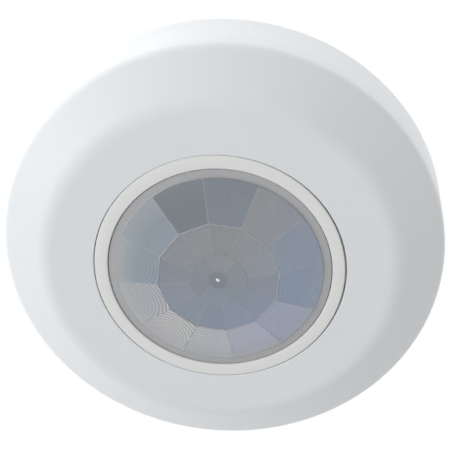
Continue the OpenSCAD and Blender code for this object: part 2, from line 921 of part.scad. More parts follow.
base_plate();
cable_grommet();
circuit_board();
board_screws();
pir_spacer();
pir_header();
pir_can();
pir_window();
terminal_block();
terminal_clamps();
terminal_screws();
alarm_relay();
capacitor_cans();
capacitor_sleeves();
chip_bodies();
chip_leads();
chip_resistors();
chip_capacitors();
jumper_header();
jumper_pins();
jumper_cap_1();
jumper_cap_2();
status_led();
led_leads();
trimmer_body();
trimmer_rotor();
tamper_housing();
tamper_spring();
tamper_plunger();
solder_tails();
front_cover();
lens_retainer();
retainer_screws();
lens_ring();
fresnel_lens();
lens_seal();
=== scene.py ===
"""Looks of the round ceiling motion sensor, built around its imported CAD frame.
The ceiling is the plane z = 0, the sensor hangs below it, and its lens faces down."""

import math

import bmesh
import bpy
from mathutils import Matrix, Vector


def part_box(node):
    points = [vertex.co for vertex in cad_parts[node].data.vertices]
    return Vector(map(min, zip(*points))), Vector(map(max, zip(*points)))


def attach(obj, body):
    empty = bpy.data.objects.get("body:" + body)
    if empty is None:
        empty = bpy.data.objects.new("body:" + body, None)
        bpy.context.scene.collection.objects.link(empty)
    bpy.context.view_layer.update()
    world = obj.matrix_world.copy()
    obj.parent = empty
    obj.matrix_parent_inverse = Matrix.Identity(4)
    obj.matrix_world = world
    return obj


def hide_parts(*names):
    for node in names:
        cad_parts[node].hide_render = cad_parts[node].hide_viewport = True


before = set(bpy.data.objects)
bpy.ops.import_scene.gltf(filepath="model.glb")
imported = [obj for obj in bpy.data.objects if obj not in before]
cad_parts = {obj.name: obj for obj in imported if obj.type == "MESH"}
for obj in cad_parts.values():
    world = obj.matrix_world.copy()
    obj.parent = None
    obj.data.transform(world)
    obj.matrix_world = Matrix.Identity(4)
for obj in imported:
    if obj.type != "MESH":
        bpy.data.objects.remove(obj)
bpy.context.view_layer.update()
MM = 0.001

# ---- sizes shared by the pieces, in millimetres ----


def node_box(node):
    """A CAD node's lowest and highest corner in millimetres."""
    low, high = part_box(node)
    return [v / MM for v in low], [v / MM for v in high]


cover_low, cover_high = node_box("front_cover")
_, ring_high = node_box("lens_ring")
FACE_DEPTH = -cover_low[2]
RIM_GAP = -cover_high[2]
RIM_R = cover_high[0]
WALL_LEAN = 1.3
BEVEL_DEPTH = 6.5
BEVEL_W = 12.0
SHOULDER_ROUND = 2.8
FACE_ROUND = 9.0
COVER_WALL = 2.2
OPENING_R = 31.6
RING_R = 31.37
RING_FLANGE_R = ring_high[0]
RING_INNER_R = 28.05
RING_LAND_T = 1.6
RING_BACK = 3.3
RING_SIDEWAYS = -0.12
RING_OVAL = 0.13
RING_OVAL_TURN = math.radians(75)
LENS_RISER_R = 27.92
LENS_FLANGE_R = 29.85
BAND_STEP = 0.4
FACET_R = 25.75
FIELD_R = 15.3
FIELD_RISE = 3.2
CROWN_RISE = 0.45
INNER_FIELD_R = 7.1
CENTRE_DISC_R = 2.4
LENS_WALL = 1.0
FACETS = 12
SHARE = 2 * math.pi / FACETS
FACET_TURN = math.radians(14.1)
SEAT_INNER_R = 33.5
SEAT_OUTER_R = 35.3
RETAINER_FRONT = 3.4

FACE_EDGE_R = 43.9
KEY_BACK = 3.0
KEY_R = 54.1
KEY_SIZE = (2.35, 3.0, 7.0)
BOSS_CENTRE_R = 37.7
BOSS_R = 2.6
SMALL_SCREW_R = 0.9
board_low, board_high = node_box("circuit_board")
BOARD_BACK = -board_high[2]
BOARD_FRONT = -board_low[2]
BOARD_SCREW_R = 42.0
BOARD_EDGE_FREE = 0.28
STANDOFF_TURNS = (33, 147, 234, 306)
SOFTEN_ABOVE = math.radians(40)
TALL_RING_R = 39.9
POST_LOW = 18.7
BLOCK_Y = -39.7
RELAY_TURN = math.radians(119)
CAPACITOR_TURNS = (56, 69)
TAMPER_TURN = math.radians(21)
JUMPER_TURN = math.radians(-28)
JUMPER_R = 21.75
TRIMMER_TURN = math.radians(205)
TRIMMER_R = 21.5
TERMINAL_PITCH = 5.08
LEAD_PITCH = 2.54
HALF_PITCH = 1.27
SENSOR_LEAD_TURNS = (0, 120, 240)
LED_AT = (10.5, -13.5)
BIG_CHIP = ((-12.5, 10.5), (8.7, 3.9), 7)
SMALL_CHIP = ((11.5, 12.0), (4.9, 3.9), 4)
CHIP_LEADS = 2 * (BIG_CHIP[2] + SMALL_CHIP[2])
ON_BOARD = BOARD_FRONT - 0.01
UNDER_BOARD = BOARD_BACK + 0.01
COPPER_T = 0.045
PAD_T = 0.07
VIA_T = 0.075
PRINT_T = 0.085
PRINT_W = 0.16
TRACK_W = 0.9
LEAD_TRACK_W = 0.55
EDGE_TRACK_R = 45.4
RESISTORS = [(-12.5, 3.4, 0), (-15.5, 3.4, 0), (-9.5, 3.4, 0), (-13, -8, 90), (-10.6, -8, 90),
             (-8.2, -8, 90), (13, 5, 0), (13, 2.6, 0), (13, 0.2, 0), (3, 17.5, 90), (-3, -16, 0),
             (0.5, -16, 0)]
CERAMICS = [(-18.6, 10.5, 90), (6, 14, 90), (17, 9, 90), (-5.5, 17, 0), (-13, -3, 0), (1, -11.5, 0)]

# ---- camera and light ----

VIEW_TILT = math.radians(27.67)
VIEW_ROLL = math.radians(8.59)
VIEW_DISTANCE = 224.0 * MM
VIEW_RIGHT = -1.45 * MM
VIEW_DOWN = 11.8 * MM
LAMPS_FACE = Vector((0, 0, -12.0 * MM))


def add_object(name, data):
    """A new object in the scene."""
    obj = bpy.data.objects.new(name, data)
    bpy.context.scene.collection.objects.link(obj)
    return obj


def aim(obj, place, right, down, forward):
    """Puts obj at place with its -Z axis along forward and its Y axis against down."""
    turn = Matrix((right, -down, -forward)).transposed()
    obj.matrix_world = Matrix.Translation(place) @ turn.to_4x4()


def add_camera():
    """Looks up at the sensor from below, tilted off its axis and rolled a little."""
    data = bpy.data.cameras.new("camera")
    data.lens = 72.0
    data.sensor_width = 36.0
    data.clip_start = 0.01
    camera = add_object("camera", data)
    forward = Vector((0, math.sin(VIEW_TILT), math.cos(VIEW_TILT)))
    level = Vector((1, 0, 0))
    right = level * math.cos(VIEW_ROLL) - forward.cross(level) * math.sin(VIEW_ROLL)
    down = forward.cross(right)
    target = Vector((0, 0, -FACE_DEPTH * MM))
    place = target - forward * VIEW_DISTANCE - right * VIEW_RIGHT - down * VIEW_DOWN
    aim(camera, place, right, down, forward)
    bpy.context.scene.camera = camera


def add_lamp(name, place, size, power, colour):
    """A soft square lamp at place, facing the sensor."""
    data = bpy.data.lights.new(name, "AREA")
    data.size = size
    data.energy = power
    data.color = colour
    lamp = add_object(name, data)
    forward = (LAMPS_FACE - Vector(place)).normalized()
    level = forward.cross(Vector((0, 0, 1))).normalized()
    aim(lamp, Vector(place), level, forward.cross(level), forward)


SURROUND_SIDE = (-0.94, -0.07, -0.2)
SURROUND_BELOW = (0.338, 0.84)
SURROUND_BEHIND = 0.73
SURROUND_FALL = (-0.9, 1.0)
SURROUND_HORIZON = (-0.12, 0.3)
SURROUND_COLOUR = (0.97, 0.985, 1.0, 1)
FLOOR_DEPTH = 2.4
FLOOR_R = 1.6
WINDOW_AT = (-0.55, -0.12, -0.2)
WINDOW_SIZE = 0.45
WINDOW_POWER = 1.0
WINDOW_COLOUR = (0.93, 0.97, 1.0)


def add_surround():
    """A white surround whose light comes mostly from one side."""
    world = bpy.data.worlds.new("surround")
    world.use_nodes = True
    tree = world.node_tree
    seen = tree.nodes["Background"]
    seen.inputs["Color"].default_value = (1, 1, 1, 1)
    cast = tree.nodes.new("ShaderNodeBackground")
    coords = tree.nodes.new("ShaderNodeTexCoord")
    toward = tree.nodes.new("ShaderNodeVectorMath")
    toward.operation = "DOT_PRODUCT"
    toward.inputs[1].default_value = SURROUND_SIDE
    tree.links.new(coords.outputs["Generated"], toward.inputs[0])
    fall = map_values(tree, toward.outputs["Value"], *SURROUND_BELOW, *SURROUND_FALL, True)
    split = tree.nodes.new("ShaderNodeSeparateXYZ")
    tree.links.new(coords.outputs["Generated"], split.inputs["Vector"])
    behind = map_values(tree, split.outputs["Z"], 0.0, SURROUND_BEHIND, *SURROUND_HORIZON, True)
    tree.links.new(mix_math(tree, "ADD", fall, behind), cast.inputs["Strength"])
    cast.inputs["Color"].default_value = SURROUND_COLOUR
    paths = tree.nodes.new("ShaderNodeLightPath")
    choice = tree.nodes.new("ShaderNodeMixShader")
    tree.links.new(paths.outputs["Is Camera Ray"], choice.inputs["Fac"])
    tree.links.new(cast.outputs["Background"], choice.inputs[1])
    tree.links.new(seen.outputs["Background"], choice.inputs[2])
    tree.links.new(choice.outputs["Shader"], tree.nodes["World Output"].inputs["Surface"])
    bpy.context.scene.world = world


def add_floor():
    """A plain pale floor well below the sensor."""
    bm = bmesh.new()
    bmesh.ops.create_circle(bm, cap_ends=True, segments=96, radius=FLOOR_R)
    mesh = bpy.data.meshes.new("floor")
    bm.to_mesh(mesh)
    floor = add_object("floor", mesh)
    floor.location.z = -FLOOR_DEPTH
    paint, _, shader = start_material("floor_paint")
    shader.inputs["Base Color"].default_value = (0.8, 0.8, 0.79, 1)
    shader.inputs["Roughness"].default_value = 0.8
    mesh.materials.append(paint)


# ---- mesh helpers ----


def make_piece(name, bm, paint, body, replaced=(), sharp=30.0):
    """Turns a bmesh drawn in millimetres into a piece that rides on a body."""
    bmesh.ops.remove_doubles(bm, verts=bm.verts, dist=1e-5)
    bmesh.ops.recalc_face_normals(bm, faces=bm.faces)
    bmesh.ops.scale(bm, vec=(MM, MM, MM), verts=bm.verts)
    mesh = bpy.data.meshes.new(name)
    bm.to_mesh(mesh)
    bm.free()
    mesh.shade_smooth()
    mesh.set_sharp_from_angle(angle=math.radians(sharp))
    mesh.materials.append(paint)
    piece = add_object(name, mesh)
    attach(piece, body)
    if replaced:
        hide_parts(*replaced)
    return piece


def turns(steps, first=0.0):
    """Equal steps of one whole turn."""
    return [first + 2 * math.pi * i / steps for i in range(steps)]


def stitch(bm, rows, all_round=False, rows_closed=True):
    """Fills between neighbouring rows of vertices, and from the last row to the first where all round."""
    for first, second in zip(rows, rows[1:] + rows[:1] if all_round else rows[1:]):
        for j in range(len(first) if rows_closed else len(first) - 1):
            k = (j + 1) % len(first)
            bm.faces.new((first[j], first[k], second[k], second[j]))


def lathe(bm, outline, steps, centre=(0, 0)):
    """Turns a closed outline of (radius, depth) points round an axis through centre."""
    rings = []
    for a in turns(steps):
        c, s = math.cos(a), math.sin(a)
        rings.append([bm.verts.new((centre[0] + r * c, centre[1] + r * s, -d)) for r, d in outline])
    stitch(bm, rings, all_round=True)


def soft_box(bm, size, low, centre=(0, 0), turn=0.0, edge=0.1, taper=0.0, about=(0, 0)):
    """A block with rounded edges that rises from depth low, turned in place and then about a point."""
    block = bmesh.new()
    bmesh.ops.create_cube(block, size=1.0)
    bmesh.ops.scale(block, vec=size, verts=block.verts)
    for v in block.verts:
        if v.co.z < 0 and taper:
            v.co.x -= math.copysign(taper, v.co.x)
            v.co.y -= math.copysign(taper, v.co.y)
    bmesh.ops.bevel(block, geom=block.edges[:], offset=edge, segments=2, profile=0.5, affect="EDGES")
    bmesh.ops.rotate(block, cent=(0, 0, 0), matrix=Matrix.Rotation(turn, 3, "Z"), verts=block.verts)
    bmesh.ops.translate(block, vec=(centre[0], centre[1], -low - size[2] / 2), verts=block.verts)
    if about != (0, 0):
        swing = Matrix.Rotation(about[0], 3, "Z")
        bmesh.ops.translate(block, vec=(about[1], 0, 0), verts=block.verts)
        bmesh.ops.rotate(block, cent=(0, 0, 0), matrix=swing, verts=block.verts)
    merge(bm, block)


def place(turn, radius, x=0.0, y=0.0):
    """A point x, y in a frame that sits at a turn and a radius from the sensor's axis."""
    c, s = math.cos(turn), math.sin(turn)
    return (radius + x) * c - y * s, (radius + x) * s + y * c


def drum(low, high, radius, edge=0.2, bore=0.0):
    """A closed outline of a cylinder from depth low to depth high with softened rims."""
    near = edge * 0.3
    return [(bore, low), (radius - edge, low), (radius - near, low + near), (radius, low + edge),
            (radius, high - edge), (radius - near, high - near), (radius - edge, high), (bore, high)]


def rounded(a, b, c, radius, steps=8):
    """Points of a round corner of that radius at b, between the lines to a and c."""
    a, b, c = Vector(a), Vector(b), Vector(c)
    u, v = (a - b).normalized(), (c - b).normalized()
    half = u.angle(v) / 2
    centre = b + (u + v).normalized() * radius / math.sin(half)
    start = b + u * radius / math.tan(half) - centre
    end = b + v * radius / math.tan(half) - centre
    sweep = start.angle_signed(end)
    points = []
    for i in range(steps + 1):
        turn = Matrix.Rotation(-sweep * i / steps, 2)
        points.append(tuple(centre + turn @ start))
    return points


# ---- shared shader groups ----


def new_group(name, inputs, outputs):
    """An empty shader group with float inputs and outputs."""
    group = bpy.data.node_groups.new(name, "ShaderNodeTree")
    for label, value in inputs:
        socket = group.interface.new_socket(label, in_out="INPUT", socket_type="NodeSocketFloat")
        socket.default_value = value
    for label, kind in outputs:
        group.interface.new_socket(label, in_out="OUTPUT", socket_type=kind)
    return group, group.nodes.new("NodeGroupInput"), group.nodes.new("NodeGroupOutput")


def add_noise(tree, scale, detail=2.0, rough=0.5):
    """A noise texture on object coordinates, in cycles per metre."""
    coords = tree.nodes.new("ShaderNodeTexCoord")
    noise = tree.nodes.new("ShaderNodeTexNoise")
    tree.links.new(coords.outputs["Object"], noise.inputs["Vector"])
    noise.inputs["Scale"].default_value = scale
    noise.inputs["Detail"].default_value = detail
    noise.inputs["Roughness"].default_value = rough
    return noise


def mix_math(tree, kind, a, b):
    """A math node whose inputs are sockets or numbers."""
    node = tree.nodes.new("ShaderNodeMath")
    node.operation = kind
    for i, value in enumerate((a, b)):
        if isinstance(value, (int, float)):
            node.inputs[i].default_value = value
        else:
            tree.links.new(value, node.inputs[i])
    return node.outputs[0]


def map_values(tree, value, low, high, start=0.0, end=1.0, eased=False):
    """Maps start to end onto low to high, in a straight line or eased at both ends."""
    node = tree.nodes.new("ShaderNodeMapRange")
    if eased:
        node.interpolation_type = "SMOOTHSTEP"
    for label, number in (("From Min", start), ("From Max", end), ("To Min", low), ("To Max", high)):
        node.inputs[label].default_value = number
    tree.links.new(value, node.inputs["Value"])
    return node.outputs["Result"]


def make_moulded_group():
    """Moulded plastic: a fine eroded grain, slow waves and faint handling marks."""
    group, given, result = new_group(
        "moulded_surface",
        [("Grain", 0.6), ("Waves", 0.4)],
        [("Height", "NodeSocketFloat"), ("Smudge", "NodeSocketFloat"), ("Tone", "NodeSocketFloat")],
    )
    grain = add_noise(group, 9000.0, 3.0, 0.6)
    waves = add_noise(group, 60.0, 2.0)
    fine = mix_math(group, "MULTIPLY", grain.outputs["Fac"], given.outputs["Grain"])
    slow = mix_math(group, "MULTIPLY", waves.outputs["Fac"], given.outputs["Waves"])
    group.links.new(mix_math(group, "ADD", fine, slow), result.inputs["Height"])
    smudge = add_noise(group, 140.0, 5.0, 0.62)
    group.links.new(map_values(group, smudge.outputs["Fac"], 0.0, 1.0, 0.42, 0.75), result.inputs["Smudge"])
    tone = add_noise(group, 35.0, 1.0)
    group.links.new(tone.outputs["Fac"], result.inputs["Tone"])
    return group


MOULDED = make_moulded_group()


def start_material(name):
    """A new material with its node tree and its Principled shader."""
    paint = bpy.data.materials.new(name)
    paint.use_nodes = True
    return paint, paint.node_tree, paint.node_tree.nodes["Principled BSDF"]


def blend_colours(tree, fac, first, second):
    """A colour between two, driven by a socket."""
    node = tree.nodes.new("ShaderNodeMix")
    node.data_type = "RGBA"
    node.inputs["A"].default_value = (*first, 1)
    node.inputs["B"].default_value = (*second, 1)
    tree.links.new(fac, node.inputs["Factor"])
    return node.outputs["Result"]


def use_group(tree, group, **values):
    """The outputs of a shader group whose inputs are set to the values."""
    node = tree.nodes.new("ShaderNodeGroup")
    node.node_tree = group
    for label, value in values.items():
        node.inputs[label].default_value = value
    return node.outputs


def dress(tree, shader, colour, rough, height, strength, distance):
    """Links a colour and a roughness to the shader, and bumps it by a height over a distance in mm."""
    tree.links.new(colour, shader.inputs["Base Color"])
    tree.links.new(rough, shader.inputs["Roughness"])
    bump = tree.nodes.new("ShaderNodeBump")
    bump.inputs["Strength"].default_value = strength
    bump.inputs["Distance"].default_value = distance * MM
    tree.links.new(height, bump.inputs["Height"])
    tree.links.new(bump.outputs["Normal"], shader.inputs["Normal"])


def plastic(name, colour, toned, rough=(0.38, 0.5), grain=0.6, waves=0.4, depth=0.012):
    """Moulded plastic between two close colours and two roughness values."""
    paint, tree, shader = start_material(name)
    surface = use_group(tree, MOULDED, Grain=grain, Waves=waves)
    dress(tree, shader, blend_colours(tree, surface["Tone"], colour, toned),
          map_values(tree, surface["Smudge"], *rough), surface["Height"], 0.5, depth)
    return paint


def cover_plastic():
    """White satin plastic of the cover."""
    paint = plastic("cover_plastic", (0.80, 0.815, 0.825), (0.83, 0.835, 0.84))
    shader = paint.node_tree.nodes["Principled BSDF"]
    shader.inputs["Subsurface Weight"].default_value = 0.08
    shader.inputs["Subsurface Radius"].default_value = (0.0012, 0.001, 0.0009)
    return paint


def ring_plastic():
    """A touch warmer than the cover."""
    return plastic("ring_plastic", (0.82, 0.815, 0.79), (0.84, 0.835, 0.81), rough=(0.3, 0.42))


def lens_plastic():
    """Milky plastic of the grooved fields, in their painted tones of reflection, highlight and shade, with a
    drifting blue and green cast.
    """
    paint, tree, shader = start_material("lens_plastic")
    surface = use_group(tree, MOULDED)
    # This attribute holds each field's painted reflection, highlight and shade.
    tone = tree.nodes.new("ShaderNodeAttribute")
    tone.attribute_name = "tone"
    drift = add_noise(tree, 55.0, 2.0)
    cast = blend_colours(tree, drift.outputs["Fac"], (0.98, 1.06, 0.97), (1.02, 0.95, 1.05))
    tinted = tree.nodes.new("ShaderNodeMix")
    tinted.data_type = "RGBA"
    tinted.blend_type = "MULTIPLY"
    tinted.inputs["Factor"].default_value = 1.0
    tree.links.new(tone.outputs["Color"], tinted.inputs["A"])
    tree.links.new(cast, tinted.inputs["B"])
    shader.inputs["Subsurface Weight"].default_value = 0.15
    shader.inputs["Subsurface Radius"].default_value = (0.0007, 0.0008, 0.001)
    dress(tree, shader, tinted.outputs["Result"], map_values(tree, surface["Smudge"], 0.22, 0.34),
          surface["Height"], 0.3, 0.004)
    return paint


def lens_edge_plastic():
    """The lens's smooth band, riser, flange and inner side."""
    return plastic("lens_edge_plastic", (0.435, 0.430, 0.440), (0.475, 0.472, 0.482),
                   rough=(0.25, 0.36), depth=0.006)


def lens_seam_plastic():
    """Thicker plastic of the seams, which looks paler than the fields."""
    return plastic("lens_seam_plastic", (0.42, 0.43, 0.45), (0.47, 0.47, 0.48),
                   rough=(0.25, 0.35), depth=0.004)


def pip_painted_highlight():
    """The thick, shiny pip, painted near white: thick plastic and a painted highlight."""
    return plastic("pip_painted_highlight", (0.95, 0.96, 0.97), (0.97, 0.97, 0.98), rough=(0.08, 0.12), depth=0.002)


def make_worked_group():
    """Worked metal: fine drawn lines along one axis, pits, and dull patches."""
    group, given, result = new_group(
        "worked_metal",
        [("Lines", 0.6)],
        [("Height", "NodeSocketFloat"), ("Dull", "NodeSocketFloat")],
    )
    coords = group.nodes.new("ShaderNodeTexCoord")
    stretch = group.nodes.new("ShaderNodeMapping")
    stretch.inputs["Scale"].default_value = (1.0, 0.12, 1.0)
    group.links.new(coords.outputs["Object"], stretch.inputs["Vector"])
    lines = group.nodes.new("ShaderNodeTexNoise")
    lines.inputs["Scale"].default_value = 2600.0
    lines.inputs["Detail"].default_value = 3.0
    group.links.new(stretch.outputs["Vector"], lines.inputs["Vector"])
    drawn = mix_math(group, "MULTIPLY", lines.outputs["Fac"], given.outputs["Lines"])
    pits = add_noise(group, 6000.0, 2.0, 0.7)
    group.links.new(mix_math(group, "ADD", drawn, mix_math(group, "MULTIPLY", pits.outputs["Fac"], 0.3)),
                    result.inputs["Height"])
    dull = add_noise(group, 500.0, 4.0, 0.65)
    group.links.new(dull.outputs["Fac"], result.inputs["Dull"])
    return group


WORKED = make_worked_group()


def metal(name, colour, worn, rough=(0.22, 0.42), lines=0.6, depth=0.008):
    """Worked metal between a bright and a dull colour."""
    paint, tree, shader = start_material(name)
    surface = use_group(tree, WORKED, Lines=lines)
    shader.inputs["Metallic"].default_value = 1.0
    dress(tree, shader, blend_colours(tree, surface["Dull"], colour, worn),
          map_values(tree, surface["Dull"], *rough), surface["Height"], 0.4, depth)
    return paint


def lacquered_laminate(name, colour, weave, depth):
    """Green lacquer over a woven glass laminate whose threads show faintly."""
    paint, tree, shader = start_material(name)
    coords = tree.nodes.new("ShaderNodeTexCoord")
    threads = []
    for axis in ("X", "Y"):
        wave = tree.nodes.new("ShaderNodeTexWave")
        wave.bands_direction = axis
        wave.inputs["Scale"].default_value = 420.0
        wave.inputs["Distortion"].default_value = 0.6
        tree.links.new(coords.outputs["Object"], wave.inputs["Vector"])
        threads.append(wave.outputs["Fac"])
    cloth = mix_math(tree, "MULTIPLY", threads[0], threads[1])
    flux = add_noise(tree, 220.0, 4.0, 0.6)
    dress(tree, shader, blend_colours(tree, cloth, colour, weave),
          map_values(tree, flux.outputs["Fac"], 0.18, 0.5), cloth, 0.35, depth)
    return paint


def rubber(name, colour, dusty):
    """Matt rubber with a dusty bloom and a fine pebble."""
    paint, tree, shader = start_material(name)
    bloom = add_noise(tree, 320.0, 5.0, 0.65)
    pebble = add_noise(tree, 5200.0, 2.0, 0.6)
    dress(tree, shader, blend_colours(tree, bloom.outputs["Fac"], colour, dusty),
          map_values(tree, bloom.outputs["Fac"], 0.55, 0.85), pebble.outputs["Fac"], 0.5, 0.02)
    return paint


def window_filter():
    """Dark coated silicon, glossy, with a faint drifting tint."""
    paint, tree, shader = start_material("window_filter")
    drift = add_noise(tree, 420.0, 1.0)
    scuffs = add_noise(tree, 2400.0, 5.0, 0.7)
    tint = blend_colours(tree, drift.outputs["Fac"], (0.030, 0.026, 0.040), (0.055, 0.040, 0.062))
    dress(tree, shader, tint, map_values(tree, scuffs.outputs["Fac"], 0.06, 0.2),
          drift.outputs["Fac"], 0.1, 0.004)
    return paint


def light_resin():
    """Clear red resin of the light, a little cloudy."""
    paint, tree, shader = start_material("light_resin")
    cloud = add_noise(tree, 600.0, 3.0)
    shader.inputs["Transmission Weight"].default_value = 0.55
    shader.inputs["IOR"].default_value = 1.5
    tint = blend_colours(tree, cloud.outputs["Fac"], (0.62, 0.06, 0.05), (0.75, 0.12, 0.10))
    dress(tree, shader, tint, map_values(tree, cloud.outputs["Fac"], 0.06, 0.16),
          cloud.outputs["Fac"], 0.1, 0.004)
    return paint


# ---- cover, ring and lens ----


def build_cover(paint):
    """The round shell with its soft bevel, opening and lens seat."""
    shoulder_r = RIM_R - WALL_LEAN
    back = (RIM_R, RIM_GAP)
    shoulder = (shoulder_r, FACE_DEPTH - BEVEL_DEPTH)
    edge = (shoulder_r - BEVEL_W, FACE_DEPTH)
    front = (OPENING_R, FACE_DEPTH)
    slope = BEVEL_DEPTH / BEVEL_W
    inner_r = shoulder_r - COVER_WALL
    inner_depth = FACE_DEPTH - COVER_WALL
    seat_depth = FACE_DEPTH - RETAINER_FRONT
    inner_edge = (edge[0] - COVER_WALL * math.tan(math.atan(slope) / 2), inner_depth)
    inner_shoulder = (inner_r, inner_depth - slope * (inner_r - inner_edge[0]))
    inner_back = (RIM_R - COVER_WALL, RIM_GAP)
    outline = [(RIM_R - 0.3, RIM_GAP), (RIM_R - 0.08, RIM_GAP + 0.08), (RIM_R - 0.01, RIM_GAP + 0.3)]
    outline += rounded(back, shoulder, edge, SHOULDER_ROUND, 14)
    outline += rounded(shoulder, edge, front, FACE_ROUND, 16)
    outline += [(40.0, FACE_DEPTH), (36.0, FACE_DEPTH), (OPENING_R + 0.25, FACE_DEPTH)]
    outline += rounded((OPENING_R + 1, FACE_DEPTH), (OPENING_R, FACE_DEPTH),
                       (OPENING_R, inner_depth), 0.15, 4)
    outline += [(OPENING_R, inner_depth), (SEAT_INNER_R, inner_depth),
                (SEAT_INNER_R, seat_depth), (SEAT_OUTER_R, seat_depth), (SEAT_OUTER_R, inner_depth),
                inner_edge, inner_shoulder, inner_back]
    bm = bmesh.new()
    lathe(bm, outline, 288)
    make_piece("cover_shell", bm, paint, "cover", ["front_cover"])


def build_ring(paint):
    """The flush trim ring with fine rounded edges. It sits a little to one side and isn't quite round, so
    the dark gap round it is widest at the right."""
    top = FACE_DEPTH
    outline = [(RING_INNER_R, top - RING_LAND_T)]
    outline += rounded((RING_INNER_R, top - 1), (RING_INNER_R, top), (RING_INNER_R + 1, top), 0.3, 5)
    outline += rounded((RING_R - 1, top), (RING_R, top), (RING_R, top - 1), 0.25, 5)
    outline += [(RING_R, top - COVER_WALL - 0.1), (RING_FLANGE_R, top - COVER_WALL - 0.1),
                (RING_FLANGE_R, top - RING_BACK), (RING_R - 1.3, top - RING_BACK),
                (RING_R - 1.3, top - RING_LAND_T)]
    bm = bmesh.new()
    lathe(bm, outline, 288)
    for v in bm.verts:
        if math.hypot(v.co.x, v.co.y) > RING_R - 0.5:
            a = math.atan2(v.co.y, v.co.x)
            wider = RING_OVAL * math.cos(2 * (a - RING_OVAL_TURN))
            v.co.x += wider * math.cos(a) + RING_SIDEWAYS
            v.co.y += wider * math.sin(a)
    make_piece("trim_ring", bm, paint, "lens_unit", ["lens_ring"])


FIELD_APOTHEM = FIELD_R * math.cos(SHARE / 2)
INNER_TURN = FACET_TURN + math.radians(-14)
GROOVE_PITCH = 0.92
GROOVE_STEP = 0.12
# Strengths of the painted highlight on the grooves' step faces and the painted shade on their slopes.
MARK_GROWTH = 1.3
SLOPE_PAINTED_SHADE = -0.3
GROOVE_PAINTED_CONTRAST = 0.66


def facet_rise(x, y, middle):
    """Height in front of the face of the flat field at x, y: an outer facet, or a middle one."""
    a = math.atan2(y, x) - FACET_TURN
    mid = FACET_TURN + (math.floor(a / SHARE) + 0.5) * SHARE
    along = x * math.cos(mid) + y * math.sin(mid)
    if middle:
        inner = INNER_FIELD_R * math.cos(SHARE / 2)
        return FIELD_RISE + CROWN_RISE * (FIELD_APOTHEM - along) / (FIELD_APOTHEM - inner)
    return FIELD_RISE * (1 - (along - FIELD_APOTHEM) / (FACET_R - FIELD_APOTHEM))


def grooved_field(centre, reach, planes, rise, depth, step=GROOVE_STEP, steps=96):
    """A patch of round stepped grooves about centre, cut off at planes, each (point, outward normal). The
    faces of the steps are marked for a painted highlight and the slopes for painted shade, more so further
    out."""
    bm = bmesh.new()
    marks = bm.faces.layers.float.new("step_painted_light")
    levels = [(0.0, 0.0)]
    count = int(reach / GROOVE_PITCH) + 1
    for i in range(count):
        low = depth * ((i + 0.5) / count) ** 1.6
        levels.append(((i + 1 - step) * GROOVE_PITCH, -low))
        levels.append(((i + 1) * GROOVE_PITCH, 0.0))
    hub = bm.verts.new((centre[0], centre[1], 0))
    before = None
    for number, (radius, drop) in enumerate(levels[1:]):
        mark = (number / len(levels)) ** MARK_GROWTH * (1.0 if drop == 0.0 else SLOPE_PAINTED_SHADE)
        ring = [bm.verts.new((centre[0] + radius * math.cos(a), centre[1] + radius * math.sin(a), drop))
                for a in turns(steps)]
        for i in range(steps):
            k = (i + 1) % steps
            if before is None:
                bm.faces.new((hub, ring[i], ring[k]))
            else:
                bm.faces.new((before[i], ring[i], ring[k], before[k]))[marks] = mark
        before = ring
    for point, normal in planes:
        geometry = bm.verts[:] + bm.edges[:] + bm.faces[:]
        bmesh.ops.bisect_plane(bm, geom=geometry, dist=1e-5, plane_co=(*point, 0),
                               plane_no=(*normal, 0), clear_outer=True)
    for v in bm.verts:
        v.co.z = -(FACE_DEPTH + rise(v.co.x, v.co.y) + v.co.z)
    return bm


def polar(turn, radius):
    """The point at an angle and a radius."""
    return (radius * math.cos(turn), radius * math.sin(turn))


def wedge_planes(start, share):
    """The two planes of a wedge that begins at angle start and is share wide."""
    end = start + share
    return [((0, 0), (math.sin(start), -math.cos(start))), ((0, 0), (-math.sin(end), math.cos(end)))]


def arc_planes(start, share, radius, cuts):
    """Planes along an arc, which keep what is inside its circle."""
    planes = []
    for i in range(cuts):
        a = start + share * (i + 0.5) / cuts
        planes.append((polar(a, radius * math.cos(share / cuts / 2)), (math.cos(a), math.sin(a))))
    return planes


def chord_plane(start, share, radius):
    """The plane through the ends of an arc, which keeps what is outside it."""
    mid = start + share / 2
    return polar(mid, radius * math.cos(share / 2)), (-math.cos(mid), -math.sin(mid))


def merge(bm, other):
    """Adds another bmesh's faces to bm."""
    mesh = bpy.data.meshes.new("part")
    other.to_mesh(mesh)
    other.free()
    bm.from_mesh(mesh)
    bpy.data.meshes.remove(mesh)


def bead(bm, points, radius, sides=6):
    """A thin raised line through points on the lens, half sunk in it."""
    rings = []
    for i, p in enumerate(points):
        ahead = Vector(points[min(i + 1, len(points) - 1)]) - Vector(points[max(i - 1, 0)])
        side = ahead.cross(Vector((0, 0, 1))).normalized()
        up = side.cross(ahead).normalized()
        rings.append([bm.verts.new(Vector(p) + radius * (
            side * math.cos(2 * math.pi * j / sides) + up * math.sin(2 * math.pi * j / sides)))
            for j in range(sides)])
    stitch(bm, rings)
    bm.faces.new(rings[0])
    bm.faces.new(rings[-1][::-1])


def on_lens(x, y, middle, sink=0.0):
    """A point on the flat field at x, y, sunk a little."""
    return (x, y, -(FACE_DEPTH + facet_rise(x, y, middle) - sink))


